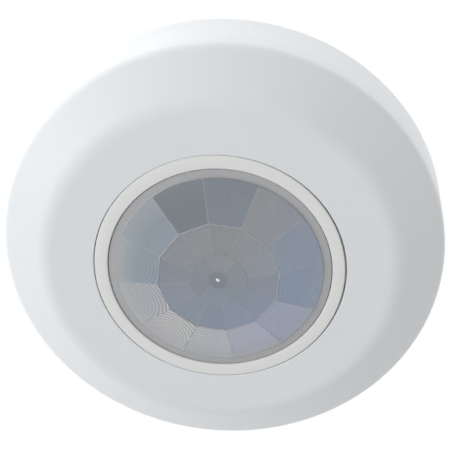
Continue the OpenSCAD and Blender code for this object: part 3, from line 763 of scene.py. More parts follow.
def paint_field(bm, painted_brightness, painted_warmth, painted_groove_light=0.0, fade=0.0):
    """Colours a field in painted reflection and shade: the first number is how bright it is painted, the
    second turns its painted cast from blue to grey, the third paints highlights on its steps and shade on
    its slopes, and fade is how far its outer edge takes the smooth band's colour."""
    layer = bm.loops.layers.float_color.new("tone")
    marks = bm.faces.layers.float["step_painted_light"]
    for face in bm.faces:
        # Painted highlight on the step faces and painted shade on the slopes.
        groove_highlight = 1.0 + GROOVE_PAINTED_CONTRAST * painted_groove_light * face[marks]
        for loop in face.loops:
            x, y = loop.vert.co.x, loop.vert.co.y
            # Painted reflection and shade: a blue cast towards +x, darker towards the rim and on that side,
            # warmer steps where highlights are painted.
            painted_blue = max(0.0, (x + 0.35 * y) / FACET_R)
            rise = 1.0 - 0.10 * max(0.0, math.hypot(x, y) / FACET_R - 0.75) - 0.03 * painted_blue
            red = 0.87 + 0.14 * painted_warmth - 0.02 * painted_blue + 0.08 * painted_groove_light * face[marks]
            tone = [painted_brightness * groove_highlight * rise * share for share in (red, 1.0, 1.15 - 0.15 * painted_warmth + 0.22 * painted_blue)]
            outward = (math.hypot(x, y) - RIM_FADE_START) / (FACET_R - RIM_FADE_START)
            part = fade * min(1.0, max(0.0, outward))
            loop[layer] = (*[t + (BAND_TONE - t) * part for t in tone], 1)


# Painted reflection and shade of each facet: how bright and how warm it is painted, how much its grooves
# show (how deep they are cut and how much highlight and shade are painted on them), and how far its outer
# edge takes the band's tone, from the first facet past the lens's turn.
FACET_PAINTED_BRIGHTNESS = (0.49, 0.53, 0.53, 0.50, 0.42, 0.33, 0.33, 0.225, 0.27, 0.35, 0.39, 0.405)
FACET_PAINTED_WARMTH = (0.55, 0.75, 0.98, 1.0, 0.75, 0.12, 0.1, 0.28, 0.16, 0.75, 0.2, 0.05)
FACET_GROOVES_AND_GLINT = (0.5, 0.12, 0.85, 1.2, 0.95, 0.45, 0.0, 0.05, 0.0, 0.12, 0.05, 0.5)
FACET_FADE = (0.5, 0.75, 0.9, 0.9, 0.85, 0.7, 0.45, 0.1, 0.0, 0.0, 0.15, 0.3)
RIM_FADE_START = 20.5
BAND_TONE = 0.47
OUTER_LENS_R = FACET_R - 2.0
DISC_STEP = 0.06


def build_lens(paint):
    """Flat facets with stepped grooves round a raised twelve-sided field."""
    crown = FIELD_RISE + CROWN_RISE
    bm = bmesh.new()
    for k in range(FACETS):
        start = FACET_TURN + k * SHARE
        mid = start + SHARE / 2
        planes = wedge_planes(start, SHARE) + arc_planes(start, SHARE, FACET_R, 6)
        planes.append(chord_plane(start, SHARE, FIELD_R))
        shows = FACET_GROOVES_AND_GLINT[k]
        facet = grooved_field(polar(mid, OUTER_LENS_R), 12.5, planes, lambda x, y: facet_rise(x, y, False),
                              depth=0.03 + 0.06 * shows, step=GROOVE_STEP + 0.2 * min(1.0, shows))
        paint_field(facet, FACET_PAINTED_BRIGHTNESS[k], FACET_PAINTED_WARMTH[k], shows, FACET_FADE[k])
        merge(bm, facet)
        planes = wedge_planes(start, SHARE) + [(polar(mid, FIELD_APOTHEM), polar(mid, 1.0))]
        planes.append(chord_plane(start, SHARE, INNER_FIELD_R))
        middle = grooved_field(polar(mid, 11.5), 6.0, planes, lambda x, y: facet_rise(x, y, True),
                               depth=0.035, steps=64)
        # Painted reflection and shade: the middle fields are painted brighter towards 40 degrees and their
        # cast turns with direction.
        painted_brightness = 0.33 + 0.01 * math.sin(2.1 * k) + 0.018 * math.cos(mid - math.radians(40))
        paint_field(middle, painted_brightness, 0.38 - 0.42 * math.sin(mid), 0.12)
        merge(bm, middle)
    for k in range(6):
        start = INNER_TURN + 2 * k * SHARE
        planes = wedge_planes(start, 2 * SHARE) + arc_planes(start, 2 * SHARE, INNER_FIELD_R, 8)
        planes.append(chord_plane(start, 2 * SHARE, CENTRE_DISC_R))
        sector = grooved_field(polar(start + SHARE, 4.7), 5.0, planes, lambda x, y: crown + DISC_STEP,
                               depth=0.03, steps=64)
        # Painted reflection and shade: the sectors' brightness and cast turn with direction.
        paint_field(sector, 0.315 + 0.012 * math.sin(1.9 * k), 0.35 - 0.25 * math.sin(start + SHARE), 0.08)
        merge(bm, sector)
    rim = arc_planes(0.0, 2 * math.pi, CENTRE_DISC_R, 36)
    disc = grooved_field((0, 0), CENTRE_DISC_R, rim, lambda x, y: crown + 2 * DISC_STEP - 0.02, depth=0.02)
    # The centre disc is painted darker: painted shade.
    paint_field(disc, 0.27, 0.3)
    merge(bm, disc)
    make_piece("lens_fields", bm, paint, "lens_unit", ["fresnel_lens"], sharp=7.0)


def build_lens_core(paint):
    """The lens's hollow inner side and the edges of its stepped discs."""
    crown = FACE_DEPTH + FIELD_RISE + CROWN_RISE
    back = FACE_DEPTH - RING_LAND_T - 0.9
    bore = LENS_RISER_R - LENS_WALL
    outline = [(bore, back), (bore, FACE_DEPTH - BAND_STEP - LENS_WALL),
               (FACET_R - LENS_WALL, FACE_DEPTH - LENS_WALL - 0.1),
               (FIELD_R - 0.4, FACE_DEPTH + FIELD_RISE - LENS_WALL), (INNER_FIELD_R, crown - LENS_WALL)]
    bm = bmesh.new()
    rings = [[bm.verts.new((*polar(a, r), -d)) for r, d in outline] for a in turns(96)]
    stitch(bm, rings, all_round=True, rows_closed=False)
    bm.faces.new([ring[-1] for ring in rings])
    make_piece("lens_inside", bm, paint, "lens_unit")
    bm = bmesh.new()
    for inner, outer, low, high in (
            (CENTRE_DISC_R - 0.1, INNER_FIELD_R, crown - 0.1, crown + DISC_STEP - 0.04),
            (0.3, CENTRE_DISC_R, crown - 0.05, crown + 2 * DISC_STEP - 0.05)):
        lathe(bm, [(inner, low), (outer, low), (outer, high), (inner, high)], 96)
    make_piece("lens_disc_steps", bm, paint, "lens_unit")


def build_lens_pip(paint):
    """The small glossy moulding pip in the middle, a little longer than wide."""
    base = FACE_DEPTH + FIELD_RISE + CROWN_RISE + 2 * DISC_STEP - 0.05
    bm = bmesh.new()
    bmesh.ops.create_uvsphere(bm, u_segments=32, v_segments=16, radius=1.0)
    bmesh.ops.scale(bm, vec=(0.62, 0.4, 0.33), verts=bm.verts)
    bmesh.ops.rotate(bm, cent=(0, 0, 0), matrix=Matrix.Rotation(math.radians(25), 3, "Z"), verts=bm.verts)
    bmesh.ops.translate(bm, vec=(0, 0, -base), verts=bm.verts)
    make_piece("lens_pip", bm, paint, "lens_unit")


def build_lens_edge(paint):
    """The smooth band, the step up to the facets, the riser and the flange."""
    bm = bmesh.new()
    band = -(FACE_DEPTH - BAND_STEP)
    flange_front = -(FACE_DEPTH - RING_LAND_T - 0.1)
    flange_back = flange_front + 0.8
    rings = []
    for a in turns(360):
        top = -(FACE_DEPTH + facet_rise(*polar(a, FACET_R), False))
        column = [(FACET_R, top), (FACET_R + 0.05, band - 0.12), (FACET_R + 0.25, band),
                  (LENS_RISER_R - 0.3, band), (LENS_RISER_R - 0.08, band + 0.06),
                  (LENS_RISER_R, band + 0.3),
                  (LENS_RISER_R, flange_front), (LENS_FLANGE_R, flange_front),
                  (LENS_FLANGE_R, flange_back), (LENS_RISER_R - LENS_WALL, flange_back)]
        rings.append([bm.verts.new((*polar(a, r), z)) for r, z in column])
    stitch(bm, rings, all_round=True, rows_closed=False)
    make_piece("lens_edge", bm, paint, "lens_unit")


def build_lens_lines(paint):
    """The raised seams between the fields."""
    crown = FIELD_RISE + CROWN_RISE
    bm = bmesh.new()
    for k in range(FACETS):
        a = FACET_TURN + k * SHARE
        (x0, y0), (x1, y1) = polar(a, FIELD_R), polar(a + SHARE, FIELD_R)
        edge = [on_lens(x0 + (x1 - x0) * t / 6, y0 + (y1 - y0) * t / 6, True, 0.02) for t in range(7)]
        bead(bm, edge, 0.14)
        bead(bm, [on_lens(*polar(a, r), False, 0.03) for r in (FIELD_R, 20.0, FACET_R - 0.05)], 0.09)
        bead(bm, [on_lens(*polar(a, r), True, 0.03) for r in (FIELD_R, 11.0, INNER_FIELD_R)], 0.06)
    disc = -(FACE_DEPTH + crown + DISC_STEP - 0.03)
    for k in range(6):
        a = INNER_TURN + 2 * k * SHARE
        bead(bm, [(*polar(a, r), disc) for r in (CENTRE_DISC_R, 5.0, INNER_FIELD_R)], 0.06)
    for radius, thick in ((INNER_FIELD_R, 0.05), (CENTRE_DISC_R, 0.04)):
        loop = [(*polar(2 * math.pi * i / 96, radius), disc) for i in range(97)]
        bead(bm, loop, thick)
    make_piece("lens_seams", bm, paint, "lens_unit", sharp=60.0)


# ---- inside of the cover ----


def build_cover_inside(paint):
    """The ribs, keys, screw bosses and tamper post behind the cover's face."""
    bm = bmesh.new()
    rib_h = RETAINER_FRONT - COVER_WALL
    floor = FACE_DEPTH - COVER_WALL
    rib_long = FACE_EDGE_R - SEAT_OUTER_R - 0.2
    root, tip = FACE_DEPTH - 1.32, FACE_DEPTH - RETAINER_FRONT
    for i in range(12):
        turn = math.radians(30 * i + 15)
        soft_box(bm, (rib_long, 1.0, rib_h + 0.3), floor - rib_h, edge=0.18,
                 about=(turn, SEAT_OUTER_R - 0.2 + rib_long / 2))
    for i in range(3):
        turn = math.radians(75 + 120 * i)
        soft_box(bm, KEY_SIZE, KEY_BACK, edge=0.25, about=(turn, KEY_R))
        centre = polar(math.radians(90 + 120 * i), BOSS_CENTRE_R)
        lathe(bm, [(SMALL_SCREW_R, root), (SMALL_SCREW_R, tip + 0.2), (SMALL_SCREW_R + 0.2, tip),
                   (BOSS_R - 0.15, tip), (BOSS_R, tip + 0.15), (BOSS_R, FACE_DEPTH - 2.3),
                   (BOSS_R + 0.5, floor), (BOSS_R + 0.5, root)], 40, centre)
    post = polar(TAMPER_TURN, TALL_RING_R)
    lathe(bm, [(0, POST_LOW), (1.35, POST_LOW), (1.6, POST_LOW + 0.25), (1.6, floor - 0.6), (2.1, floor),
               (2.1, floor + 0.5), (0, floor + 0.5)], 32, post)
    make_piece("cover_inside", bm, paint, "cover", sharp=40.0)


# ---- circuit board ----


def ribbon(bm, points, width, front, thick):
    """A flat strip along points, with round ends and corners, between two depths."""
    for (x0, y0), (x1, y1) in zip(points, points[1:]):
        run = Vector((x1 - x0, y1 - y0))
        side = Vector((-run.y, run.x)).normalized() * width / 2
        corners = [(x0 + side.x, y0 + side.y), (x0 - side.x, y0 - side.y),
                   (x1 - side.x, y1 - side.y), (x1 + side.x, y1 + side.y)]
        low = [bm.verts.new((x, y, -front)) for x, y in corners]
        high = [bm.verts.new((x, y, -front - thick)) for x, y in corners]
        bm.faces.new(high)
        stitch(bm, [low, high])
    for x, y in points:
        disc(bm, x, y, width / 2, front, thick * 1.04)


def disc(bm, x, y, radius, front, thick, sides=14):
    """A flat round pad raised from the board."""
    low = [bm.verts.new((x + radius * math.cos(a), y + radius * math.sin(a), -front)) for a in turns(sides)]
    high = [bm.verts.new((v.co.x, v.co.y, -front - thick)) for v in low]
    bm.faces.new(high)
    stitch(bm, [low, high])


def elbow(start, *stops):
    """A route from start through the stops, each reached in one straight run and one 45 degree run."""
    route = [start]
    for end in stops:
        dx, dy = end[0] - route[-1][0], end[1] - route[-1][1]
        short = min(abs(dx), abs(dy))
        route += [(end[0] - math.copysign(short, dx), end[1] - math.copysign(short, dy)), end]
    return route


def terminal_points():
    """The middle of each terminal."""
    return [((i - 2.5) * TERMINAL_PITCH, BLOCK_Y) for i in range(6)]


def chip_points(chip, side):
    """The foot of each lead along one side of a chip."""
    (x, y), size, count = chip
    return [(x + (i - (count - 1) / 2) * HALF_PITCH, y + side * (size[1] / 2 + 0.75)) for i in range(count)]


def at_relay(x, y):
    """A point in the relay's frame."""
    return place(RELAY_TURN, TALL_RING_R, x, y)


def at_jumper(x, y):
    """A point in the jumper header's frame."""
    return place(JUMPER_TURN, JUMPER_R, x, y)


def at_capacitor(number, y):
    """A point across one capacitor."""
    return place(math.radians(CAPACITOR_TURNS[number]), TALL_RING_R, 0, y)


def at_tamper(y):
    """A point across the tamper switch."""
    return place(TAMPER_TURN, TALL_RING_R, 0, y)


def at_trimmer(y):
    """A point across the adjuster."""
    return place(TRIMMER_TURN, TRIMMER_R, 0, y)


def at_light(x):
    """A point along the light's two leads."""
    return (LED_AT[0] + x, LED_AT[1])


def sensor_leads():
    """The three leads of the heat sensor."""
    return [polar(math.radians(turn), LEAD_PITCH) for turn in SENSOR_LEAD_TURNS]


def through_points():
    """Every place where a lead goes through the board."""
    points = terminal_points()
    points += [at_relay(x, y) for x in (-LEAD_PITCH, LEAD_PITCH)
               for y in (-TERMINAL_PITCH, 0, TERMINAL_PITCH)]
    points += [at_capacitor(number, y) for number in (0, 1) for y in (-HALF_PITCH, HALF_PITCH)]
    points += sensor_leads()
    points += [at_jumper(x, y) for x in (-HALF_PITCH, HALF_PITCH) for y in (-LEAD_PITCH, LEAD_PITCH)]
    points += [at_light(x) for x in (-HALF_PITCH, HALF_PITCH)]
    points += [at_tamper(y) for y in (-2.2, 2.2)]
    points += [at_trimmer(y) for y in (-2.5, 2.5)]
    return points


def front_routes():
    """Where the copper runs on the lens side of the board."""
    ways = terminal_points()
    sensor = sensor_leads()
    big_low, big_high = chip_points(BIG_CHIP, -1), chip_points(BIG_CHIP, 1)
    small_low, small_high = chip_points(SMALL_CHIP, -1), chip_points(SMALL_CHIP, 1)
    routes = []
    for i, (x, y) in enumerate(big_low):
        low = y - 0.9 - 0.25 * (i % 3)
        routes.append([(x, y), (x, low), (x + 0.6, low - 0.6)])
    for i, (x, y) in enumerate(big_high):
        top = y + 3.0 + 1.1 * i
        routes.append([(x, y), (x, top - 1.2), (x + 1.2, top)])
    for i, (x, y) in enumerate(small_high):
        routes.append([(x, y), (x, y + 1.6 + i), (x - 1.0, y + 2.6 + i)])
    for i, (x, y) in enumerate(small_low):
        routes.append([(x, y), (x, y - 1.0 - 0.8 * i), (x - 1.4, y - 2.4 - 0.8 * i)])
    routes += [
        elbow(ways[0], (-26.0, -20.0), (-26.0, 14.0), at_relay(-LEAD_PITCH, -TERMINAL_PITCH)),
        elbow(ways[1], (-23.2, -17.5), (-23.2, 15.0), at_relay(-LEAD_PITCH, 0)),
        elbow(ways[2], (-3.6, -16.0)),
        elbow(ways[3], (2.0, -20.5)) + [(2.0, -16.0)],
        elbow(ways[4], at_jumper(HALF_PITCH, -LEAD_PITCH)),
        elbow(ways[5], (31.0, -20.0), (31.0, 4.0), at_tamper(-2.2)),
        elbow(at_light(-HALF_PITCH), (1.4, -16.0)),
        elbow(at_light(HALF_PITCH), at_jumper(-HALF_PITCH, -LEAD_PITCH)),
        elbow(at_jumper(-HALF_PITCH, LEAD_PITCH), (14.0, 0.2)),
        elbow(at_jumper(HALF_PITCH, LEAD_PITCH), (27.0, 6.0)) + [(27.0, 20.0)],
        elbow(at_capacitor(0, -HALF_PITCH), (17.0, 14.0)),
        elbow(at_capacitor(1, HALF_PITCH), (3.0, 22.0)) + [(3.0, 18.4)],
        elbow(at_trimmer(-2.5), (-15.5, 3.4)),
        elbow(at_trimmer(2.5), (-14.0, -14.5)) + [(-10.6, -11.1)],
        elbow(sensor[1], (-5.8, 3.4)) + [(-8.6, 3.4)],
        elbow(sensor[0], (12.0, 5.0)),
        elbow(sensor[2], (0.1, -10.6)),
    ]
    return routes


def surface_pads(places, long, wide):
    """The two ends of each small part at (x, y, turn in degrees), and the turn."""
    pads = []
    for x, y, turn in places:
        a = math.radians(turn)
        for side in (-1, 1):
            pads.append((x + side * long * math.cos(a), y + side * long * math.sin(a), a, wide))
    return pads


def build_tracks(paint):
    """Copper under the lacquer on both sides of the board."""
    bm = bmesh.new()
    for i, route in enumerate(front_routes()):
        ribbon(bm, route, LEAD_TRACK_W if i < CHIP_LEADS else TRACK_W, ON_BOARD, COPPER_T)
    for i in range(72):
        a, b = 2 * math.pi * i / 72, 2 * math.pi * (i + 1) / 72
        if BOARD_EDGE_FREE < abs(math.sin(a)) and math.sin(a) > -0.8:
            ribbon(bm, [polar(a, EDGE_TRACK_R), polar(b, EDGE_TRACK_R)], 0.7, ON_BOARD, COPPER_T)
    ways = terminal_points()
    backs = [elbow(ways[0], at_relay(LEAD_PITCH, -TERMINAL_PITCH)), elbow(ways[1], (-16.5, 8.0)),
             elbow(ways[4], (13.0, -26.0), (22.0, 24.0)),
             elbow(sensor_leads()[0], (9.0, -9.0), at_light(-HALF_PITCH))]
    for route in backs:
        ribbon(bm, route, 1.6, UNDER_BOARD, -COPPER_T)
    make_piece("board_tracks", bm, paint, "base", sharp=40.0)


def build_pads(paint):
    """Tinned copper: pads, vias and a ring round each screw."""
    bm = bmesh.new()
    for x, y in through_points():
        disc(bm, x, y, 0.95, ON_BOARD, PAD_T, 20)
        disc(bm, x, y, 1.0, UNDER_BOARD, -PAD_T, 20)
    for chip in (BIG_CHIP, SMALL_CHIP):
        for side in (-1, 1):
            for x, y in chip_points(chip, side):
                ribbon(bm, [(x, y - 0.45), (x, y + 0.45)], 0.6, ON_BOARD, PAD_T)
    for x, y, a, wide in surface_pads(RESISTORS + CERAMICS, 1.1, 1.25):
        dx, dy = polar(a, 0.45)
        ribbon(bm, [(x - dx, y - dy), (x + dx, y + dy)], wide * 0.8, ON_BOARD, PAD_T)
    for route in front_routes():
        disc(bm, *route[-1], 0.5, ON_BOARD, VIA_T)
    for turn in STANDOFF_TURNS:
        centre = polar(math.radians(turn), BOARD_SCREW_R)
        lathe(bm, [(1.65, ON_BOARD), (1.65, BOARD_FRONT + 0.05), (3.4, BOARD_FRONT + 0.05),
                   (3.4, ON_BOARD)], 32, centre)
    make_piece("board_pads", bm, paint, "base", sharp=40.0)


def outline_box(bm, size, middle, turn=0.0):
    """Four printed lines round a part, turned about its middle."""
    w, h = size[0] / 2, size[1] / 2
    c, s = math.cos(turn), math.sin(turn)
    points = [(middle[0] + x * c - y * s, middle[1] + x * s + y * c)
              for x, y in ((-w, -h), (w, -h), (w, h), (-w, h), (-w, -h))]
    ribbon(bm, points, PRINT_W, ON_BOARD, PRINT_T)


def outline_circle(bm, centre, radius, steps=36):
    """One printed circle."""
    loop = [(centre[0] + radius * math.cos(a), centre[1] + radius * math.sin(a))
            for a in [*turns(steps), 0.0]]
    ribbon(bm, loop, PRINT_W, ON_BOARD, PRINT_T)


def build_print(paint):
    """White printed outlines round the parts, with no lettering."""
    bm = bmesh.new()
    outline_box(bm, (31.4, 8.4), (0, BLOCK_Y))
    for size, turn, radius in (((8.2, 15.8), RELAY_TURN, TALL_RING_R),
                               ((7.0, 7.0), TAMPER_TURN, TALL_RING_R),
                               ((7.6, 7.6), TRIMMER_TURN, TRIMMER_R),
                               ((6.2, 8.8), JUMPER_TURN, JUMPER_R)):
        outline_box(bm, size, polar(turn, radius), turn)
    for turn in CAPACITOR_TURNS:
        outline_circle(bm, polar(math.radians(turn), TALL_RING_R), 3.6)
    outline_circle(bm, (0, 0), 6.3, 48)
    outline_circle(bm, LED_AT, 2.5)
    for (x, y), size, _ in (BIG_CHIP, SMALL_CHIP):
        outline_box(bm, (size[0] + 0.5, size[1] - 0.6), (x, y))
        disc(bm, x - size[0] / 2 - 0.9, y - size[1] / 2 - 0.6, 0.3, ON_BOARD, PRINT_T)
    for x, y, turn in RESISTORS + CERAMICS:
        c, s = math.cos(math.radians(turn)), math.sin(math.radians(turn))
        for away in (-1.05, 1.05):
            line = [(x - away * s + along * c, y + away * c + along * s) for along in (-0.8, 0.8)]
            ribbon(bm, line, 0.15, ON_BOARD, PRINT_T)
    for x, y in terminal_points():
        ribbon(bm, [(x - 1.0, y + 5.6), (x, y + 4.8), (x + 1.0, y + 5.6)], 0.2, ON_BOARD, PRINT_T)
    make_piece("board_print", bm, paint, "base", sharp=40.0)


def build_solder(paint):
    """A concave fillet of solder round each lead on the back of the board."""
    bm = bmesh.new()
    for x, y in through_points():
        lathe(bm, [(0, BOARD_BACK - 0.05), (0.9, BOARD_BACK - 0.06), (0.62, BOARD_BACK - 0.22),
                   (0.44, BOARD_BACK - 0.5), (0.33, BOARD_BACK - 0.9), (0.28, BOARD_BACK - 1.25),
                   (0.16, BOARD_BACK - 1.38), (0, BOARD_BACK - 1.4)][::-1], 20, (x, y))
    make_piece("solder_joints", bm, paint, "base", ["solder_tails"], sharp=60.0)


# ---- parts on the board ----


def build_relay(paint):
    """A sealed relay: a cap over a slightly smaller foot, with a moulded slot."""
    bm = bmesh.new()
    about = (RELAY_TURN, TALL_RING_R)
    soft_box(bm, (7.0, 14.6, 1.3), BOARD_FRONT, edge=0.08, about=about)
    soft_box(bm, (7.2, 14.8, 7.1), BOARD_FRONT + 1.25, edge=0.35, taper=0.08, about=about)
    soft_box(bm, (0.9, 4.0, 0.1), BOARD_FRONT + 8.27, edge=0.04, about=about)
    make_piece("relay_case", bm, paint, "base", ["alarm_relay"], sharp=50.0)


def build_capacitors(metal, film, stripe):
    """Rolled cans in shrunk sleeves with a pale stripe, scored across the top."""
    cans, sleeves, bands = bmesh.new(), bmesh.new(), bmesh.new()
    high = BOARD_FRONT + 7.6
    for turn in CAPACITOR_TURNS:
        centre = polar(math.radians(turn), TALL_RING_R)
        lathe(cans, [(0, high - 0.12), (2.35, high - 0.12), (2.45, high - 0.02), (2.7, high - 0.02),
                     (2.93, high - 0.2), (2.98, high - 0.5), (2.98, BOARD_FRONT + 1.2),
                     (2.7, BOARD_FRONT + 0.9), (2.98, BOARD_FRONT + 0.6), (2.9, BOARD_FRONT + 0.1),
                     (0, BOARD_FRONT + 0.1)], 48, centre)
        lathe(sleeves, [(3.03, high - 0.65), (2.75, high - 0.05), (2.6, high - 0.01), (2.85, high - 0.03),
                        (3.13, high - 0.4), (3.19, high - 0.8), (3.19, BOARD_FRONT + 1.35),
                        (2.98, BOARD_FRONT + 0.95), (3.19, BOARD_FRONT + 0.6), (3.15, BOARD_FRONT + 0.25),
                        (3.03, BOARD_FRONT + 0.25), (3.03, BOARD_FRONT + 1.2)], 48, centre)
        for i in range(6):
            a = math.radians(turn + 160 + 8 * i)
            b = a + math.radians(8)
            low, top = BOARD_FRONT + 1.5, high - 0.8
            corners = [(centre[0] + 3.2 * math.cos(g), centre[1] + 3.2 * math.sin(g), -d)
                       for g, d in ((a, low), (b, low), (b, top), (a, top))]
            outer = [bands.verts.new(c) for c in corners]
            inner = [bands.verts.new((centre[0] + (c[0] - centre[0]) * 0.985,
                                      centre[1] + (c[1] - centre[1]) * 0.985, c[2])) for c in corners]
            bands.faces.new(outer)
            for j in range(4):
                k = (j + 1) % 4
                bands.faces.new((outer[j], inner[j], inner[k], outer[k]))
        for cross in (0.4, 0.4 + math.pi / 2):
            soft_box(cans, (3.6, 0.22, 0.1), high - 0.13, centre, cross, 0.04)
    make_piece("capacitor_shells", cans, metal, "base", ["capacitor_cans"], sharp=40.0)
    make_piece("capacitor_films", sleeves, film, "base", ["capacitor_sleeves"], sharp=50.0)
    make_piece("capacitor_stripes", bands, stripe, "base", sharp=40.0)


def build_chips(resin, tin, black, tan):
    """Tapered chips on bent leads, and small parts with plated ends."""
    bodies, leads = bmesh.new(), bmesh.new()
    for chip in (BIG_CHIP, SMALL_CHIP):
        (x, y), size, _ = chip
        soft_box(bodies, (size[0], size[1], 0.75), BOARD_FRONT + 0.3, (x, y), edge=0.05)
        soft_box(bodies, (size[0], size[1], 0.75), BOARD_FRONT + 1.05, (x, y), edge=0.06, taper=0.14)
        lathe(bodies, [(0, BOARD_FRONT + 1.79), (0.42, BOARD_FRONT + 1.79), (0.42, BOARD_FRONT + 1.7),
                       (0, BOARD_FRONT + 1.7)], 24, (x - size[0] / 2 + 1, y - size[1] / 2 + 1))
        for side in (-1, 1):
            for px, _ in chip_points(chip, side):
                root = y + side * size[1] / 2
                path = [(root - side * 0.1, 1.05), (root + side * 0.24, 1.03), (root + side * 0.38, 0.86),
                        (root + side * 0.5, 0.2), (root + side * 0.64, 0.08), (root + side * 1.0, 0.08)]
                rows = []
                for along, lift in path:
                    rows.append([leads.verts.new((px + w, along, -BOARD_FRONT - lift - d))
                                 for w, d in ((-0.2, 0.0), (0.2, 0.0), (0.2, 0.17), (-0.2, 0.17))])
                stitch(leads, rows)
                leads.faces.new(rows[0])
                leads.faces.new(rows[-1][::-1])
    make_piece("chip_cases", bodies, resin, "base", ["chip_bodies"], sharp=50.0)
    make_piece("chip_legs", leads, tin, "base", ["chip_leads"], sharp=50.0)
    for label, node, places, high, paint in (("resistor_chips", "chip_resistors", RESISTORS, 0.5, black),
                                             ("ceramic_chips", "chip_capacitors", CERAMICS, 0.9, tan)):
        middles, ends = bmesh.new(), bmesh.new()
        for x, y, turn in places:
            soft_box(middles, (1.3, 1.2, high - 0.04), BOARD_FRONT + 0.02, (x, y), math.radians(turn), 0.04)
        for x, y, a, _ in surface_pads(places, 0.79, 1.25):
            soft_box(ends, (0.42, 1.24, high), BOARD_FRONT, (x, y), a, 0.09)
        make_piece(label, middles, paint, "base", [node], sharp=50.0)
        make_piece(label + "_ends", ends, tin, "base", sharp=50.0)


def build_heat_sensor(metal, glass, white):
    """The rolled can on its header, with a dark window and a white spacer."""
    low = BOARD_FRONT + 2.4
    bm = bmesh.new()
    lathe(bm, [(0, low), (4.45, low), (4.6, low + 0.15), (4.6, low + 0.45), (4.45, low + 0.6),
               (0, low + 0.6)], 64)
    for lead in sensor_leads():
        lathe(bm, [(0, BOARD_FRONT), (0.25, BOARD_FRONT), (0.25, low + 0.1), (0, low + 0.1)], 16, lead)
    soft_box(bm, (1.1, 0.9, 0.5), low + 0.05, polar(math.radians(45), 4.5), math.radians(45), 0.08)
    make_piece("sensor_header", bm, metal, "base", ["pir_header"], sharp=40.0)
    can = bmesh.new()
    base = low + 0.6
    high = base + 4.0
    lathe(can, [(3.9, base), (4.14, base), (4.14, high - 0.5), (4.02, high - 0.15), (3.7, high),
                (3.35, high), (3.3, high - 0.22), (3.85, high - 0.3)], 64)
    rim, hole = [], []
    for a in turns(64):
        c, s = math.cos(a), math.sin(a)
        reach = min(2.0 / max(abs(c), 1e-6), 1.4 / max(abs(s), 1e-6))
        rim.append(can.verts.new((3.35 * c, 3.35 * s, -high)))
        hole.append(can.verts.new((reach * c, reach * s, -high)))
    inner = [can.verts.new((v.co.x, v.co.y, -high + 0.22)) for v in hole]
    stitch(can, [rim, hole, inner])
    make_piece("sensor_can", can, metal, "base", ["pir_can"], sharp=40.0)
    window = bmesh.new()
    soft_box(window, (4.6, 3.4, 0.45), high - 0.72, edge=0.06)
    make_piece("sensor_window", window, glass, "base", ["pir_window"], sharp=40.0)
    spacer = bmesh.new()
    lathe(spacer, drum(BOARD_FRONT + 0.02, low - 0.02, 5.55, 0.2), 64)
    make_piece("sensor_spacer", spacer, white, "base", ["pir_spacer"], sharp=40.0)


def build_light(resin, metal):
    """A round-topped light with a flange, and the metal cup inside it."""
    low = BOARD_FRONT + 1.2
    bm = bmesh.new()
    dome = low + 2.9
    outline = [(0, low), (1.85, low), (1.9, low + 0.08), (1.9, low + 0.72), (1.82, low + 0.8),
               (1.5, low + 0.85), (1.5, dome)]
    for i in range(1, 10):
        x, y = polar(math.pi * i / 20, 1.5)
        outline.append((x, dome + y))
    outline.append((0, dome + 1.5))
    lathe(bm, outline, 40, LED_AT)
    make_piece("light_lens", bm, resin, "base", ["status_led"], sharp=50.0)
    legs = bmesh.new()
    for x in (-HALF_PITCH, HALF_PITCH):
        soft_box(legs, (0.45, 0.45, 1.2), BOARD_FRONT + 0.01, at_light(x), 0.0, 0.05)
    make_piece("light_legs", legs, metal, "base", ["led_leads"], sharp=50.0)


def soften(node, width, paint):
    """Gives a carried-over node its material and edges rounded by a width in millimetres."""
    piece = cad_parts[node]
    piece.data.materials.clear()
    piece.data.materials.append(paint)
    if width:
        weld = piece.modifiers.new("weld", "WELD")
        weld.merge_threshold = 1e-6
        edges = piece.modifiers.new("soft_edges", "BEVEL")
        edges.width = width * MM
        edges.segments = 2
        edges.limit_method = "ANGLE"
        edges.angle_limit = SOFTEN_ABOVE
        edges.use_clamp_overlap = True


add_camera()
bpy.context.scene.view_settings.view_transform = "Standard"
add_surround()
add_floor()
add_lamp("window", WINDOW_AT, WINDOW_SIZE, WINDOW_POWER, WINDOW_COLOUR)
cover_paint = cover_plastic()
lens_paint = lens_plastic()
build_cover(cover_paint)
build_ring(ring_plastic())
build_lens(lens_paint)
edge_paint = lens_edge_plastic()
build_lens_edge(edge_paint)
build_lens_core(edge_paint)
build_lens_lines(lens_seam_plastic())
build_lens_pip(pip_painted_highlight())
build_cover_inside(cover_paint)
tin = metal("tinned_metal", (0.78, 0.78, 0.76), (0.60, 0.60, 0.58), (0.25, 0.5), 0.2)
can_metal = metal("can_steel", (0.74, 0.73, 0.70), (0.60, 0.59, 0.56), (0.2, 0.36))
screw_metal = metal("screw_steel", (0.70, 0.70, 0.70), (0.50, 0.50, 0.49), (0.24, 0.46), 0.9)
black_resin = plastic("chip_resin", (0.018, 0.018, 0.020), (0.030, 0.030, 0.032), (0.45, 0.62),
                      0.9, 0.1, 0.014)
build_tracks(lacquered_laminate("lacquer_over_copper", (0.045, 0.24, 0.085), (0.060, 0.28, 0.10), 0.004))
build_pads(tin)
build_print(plastic("print_ink", (0.78, 0.78, 0.74), (0.84, 0.84, 0.80), (0.5, 0.7), 0.8, 0.2, 0.006))
build_solder(metal("solder", (0.72, 0.73, 0.74), (0.55, 0.56, 0.57), (0.16, 0.4), 0.1))
build_relay(plastic("relay_plastic", (0.66, 0.66, 0.62), (0.71, 0.71, 0.67), (0.3, 0.45)))
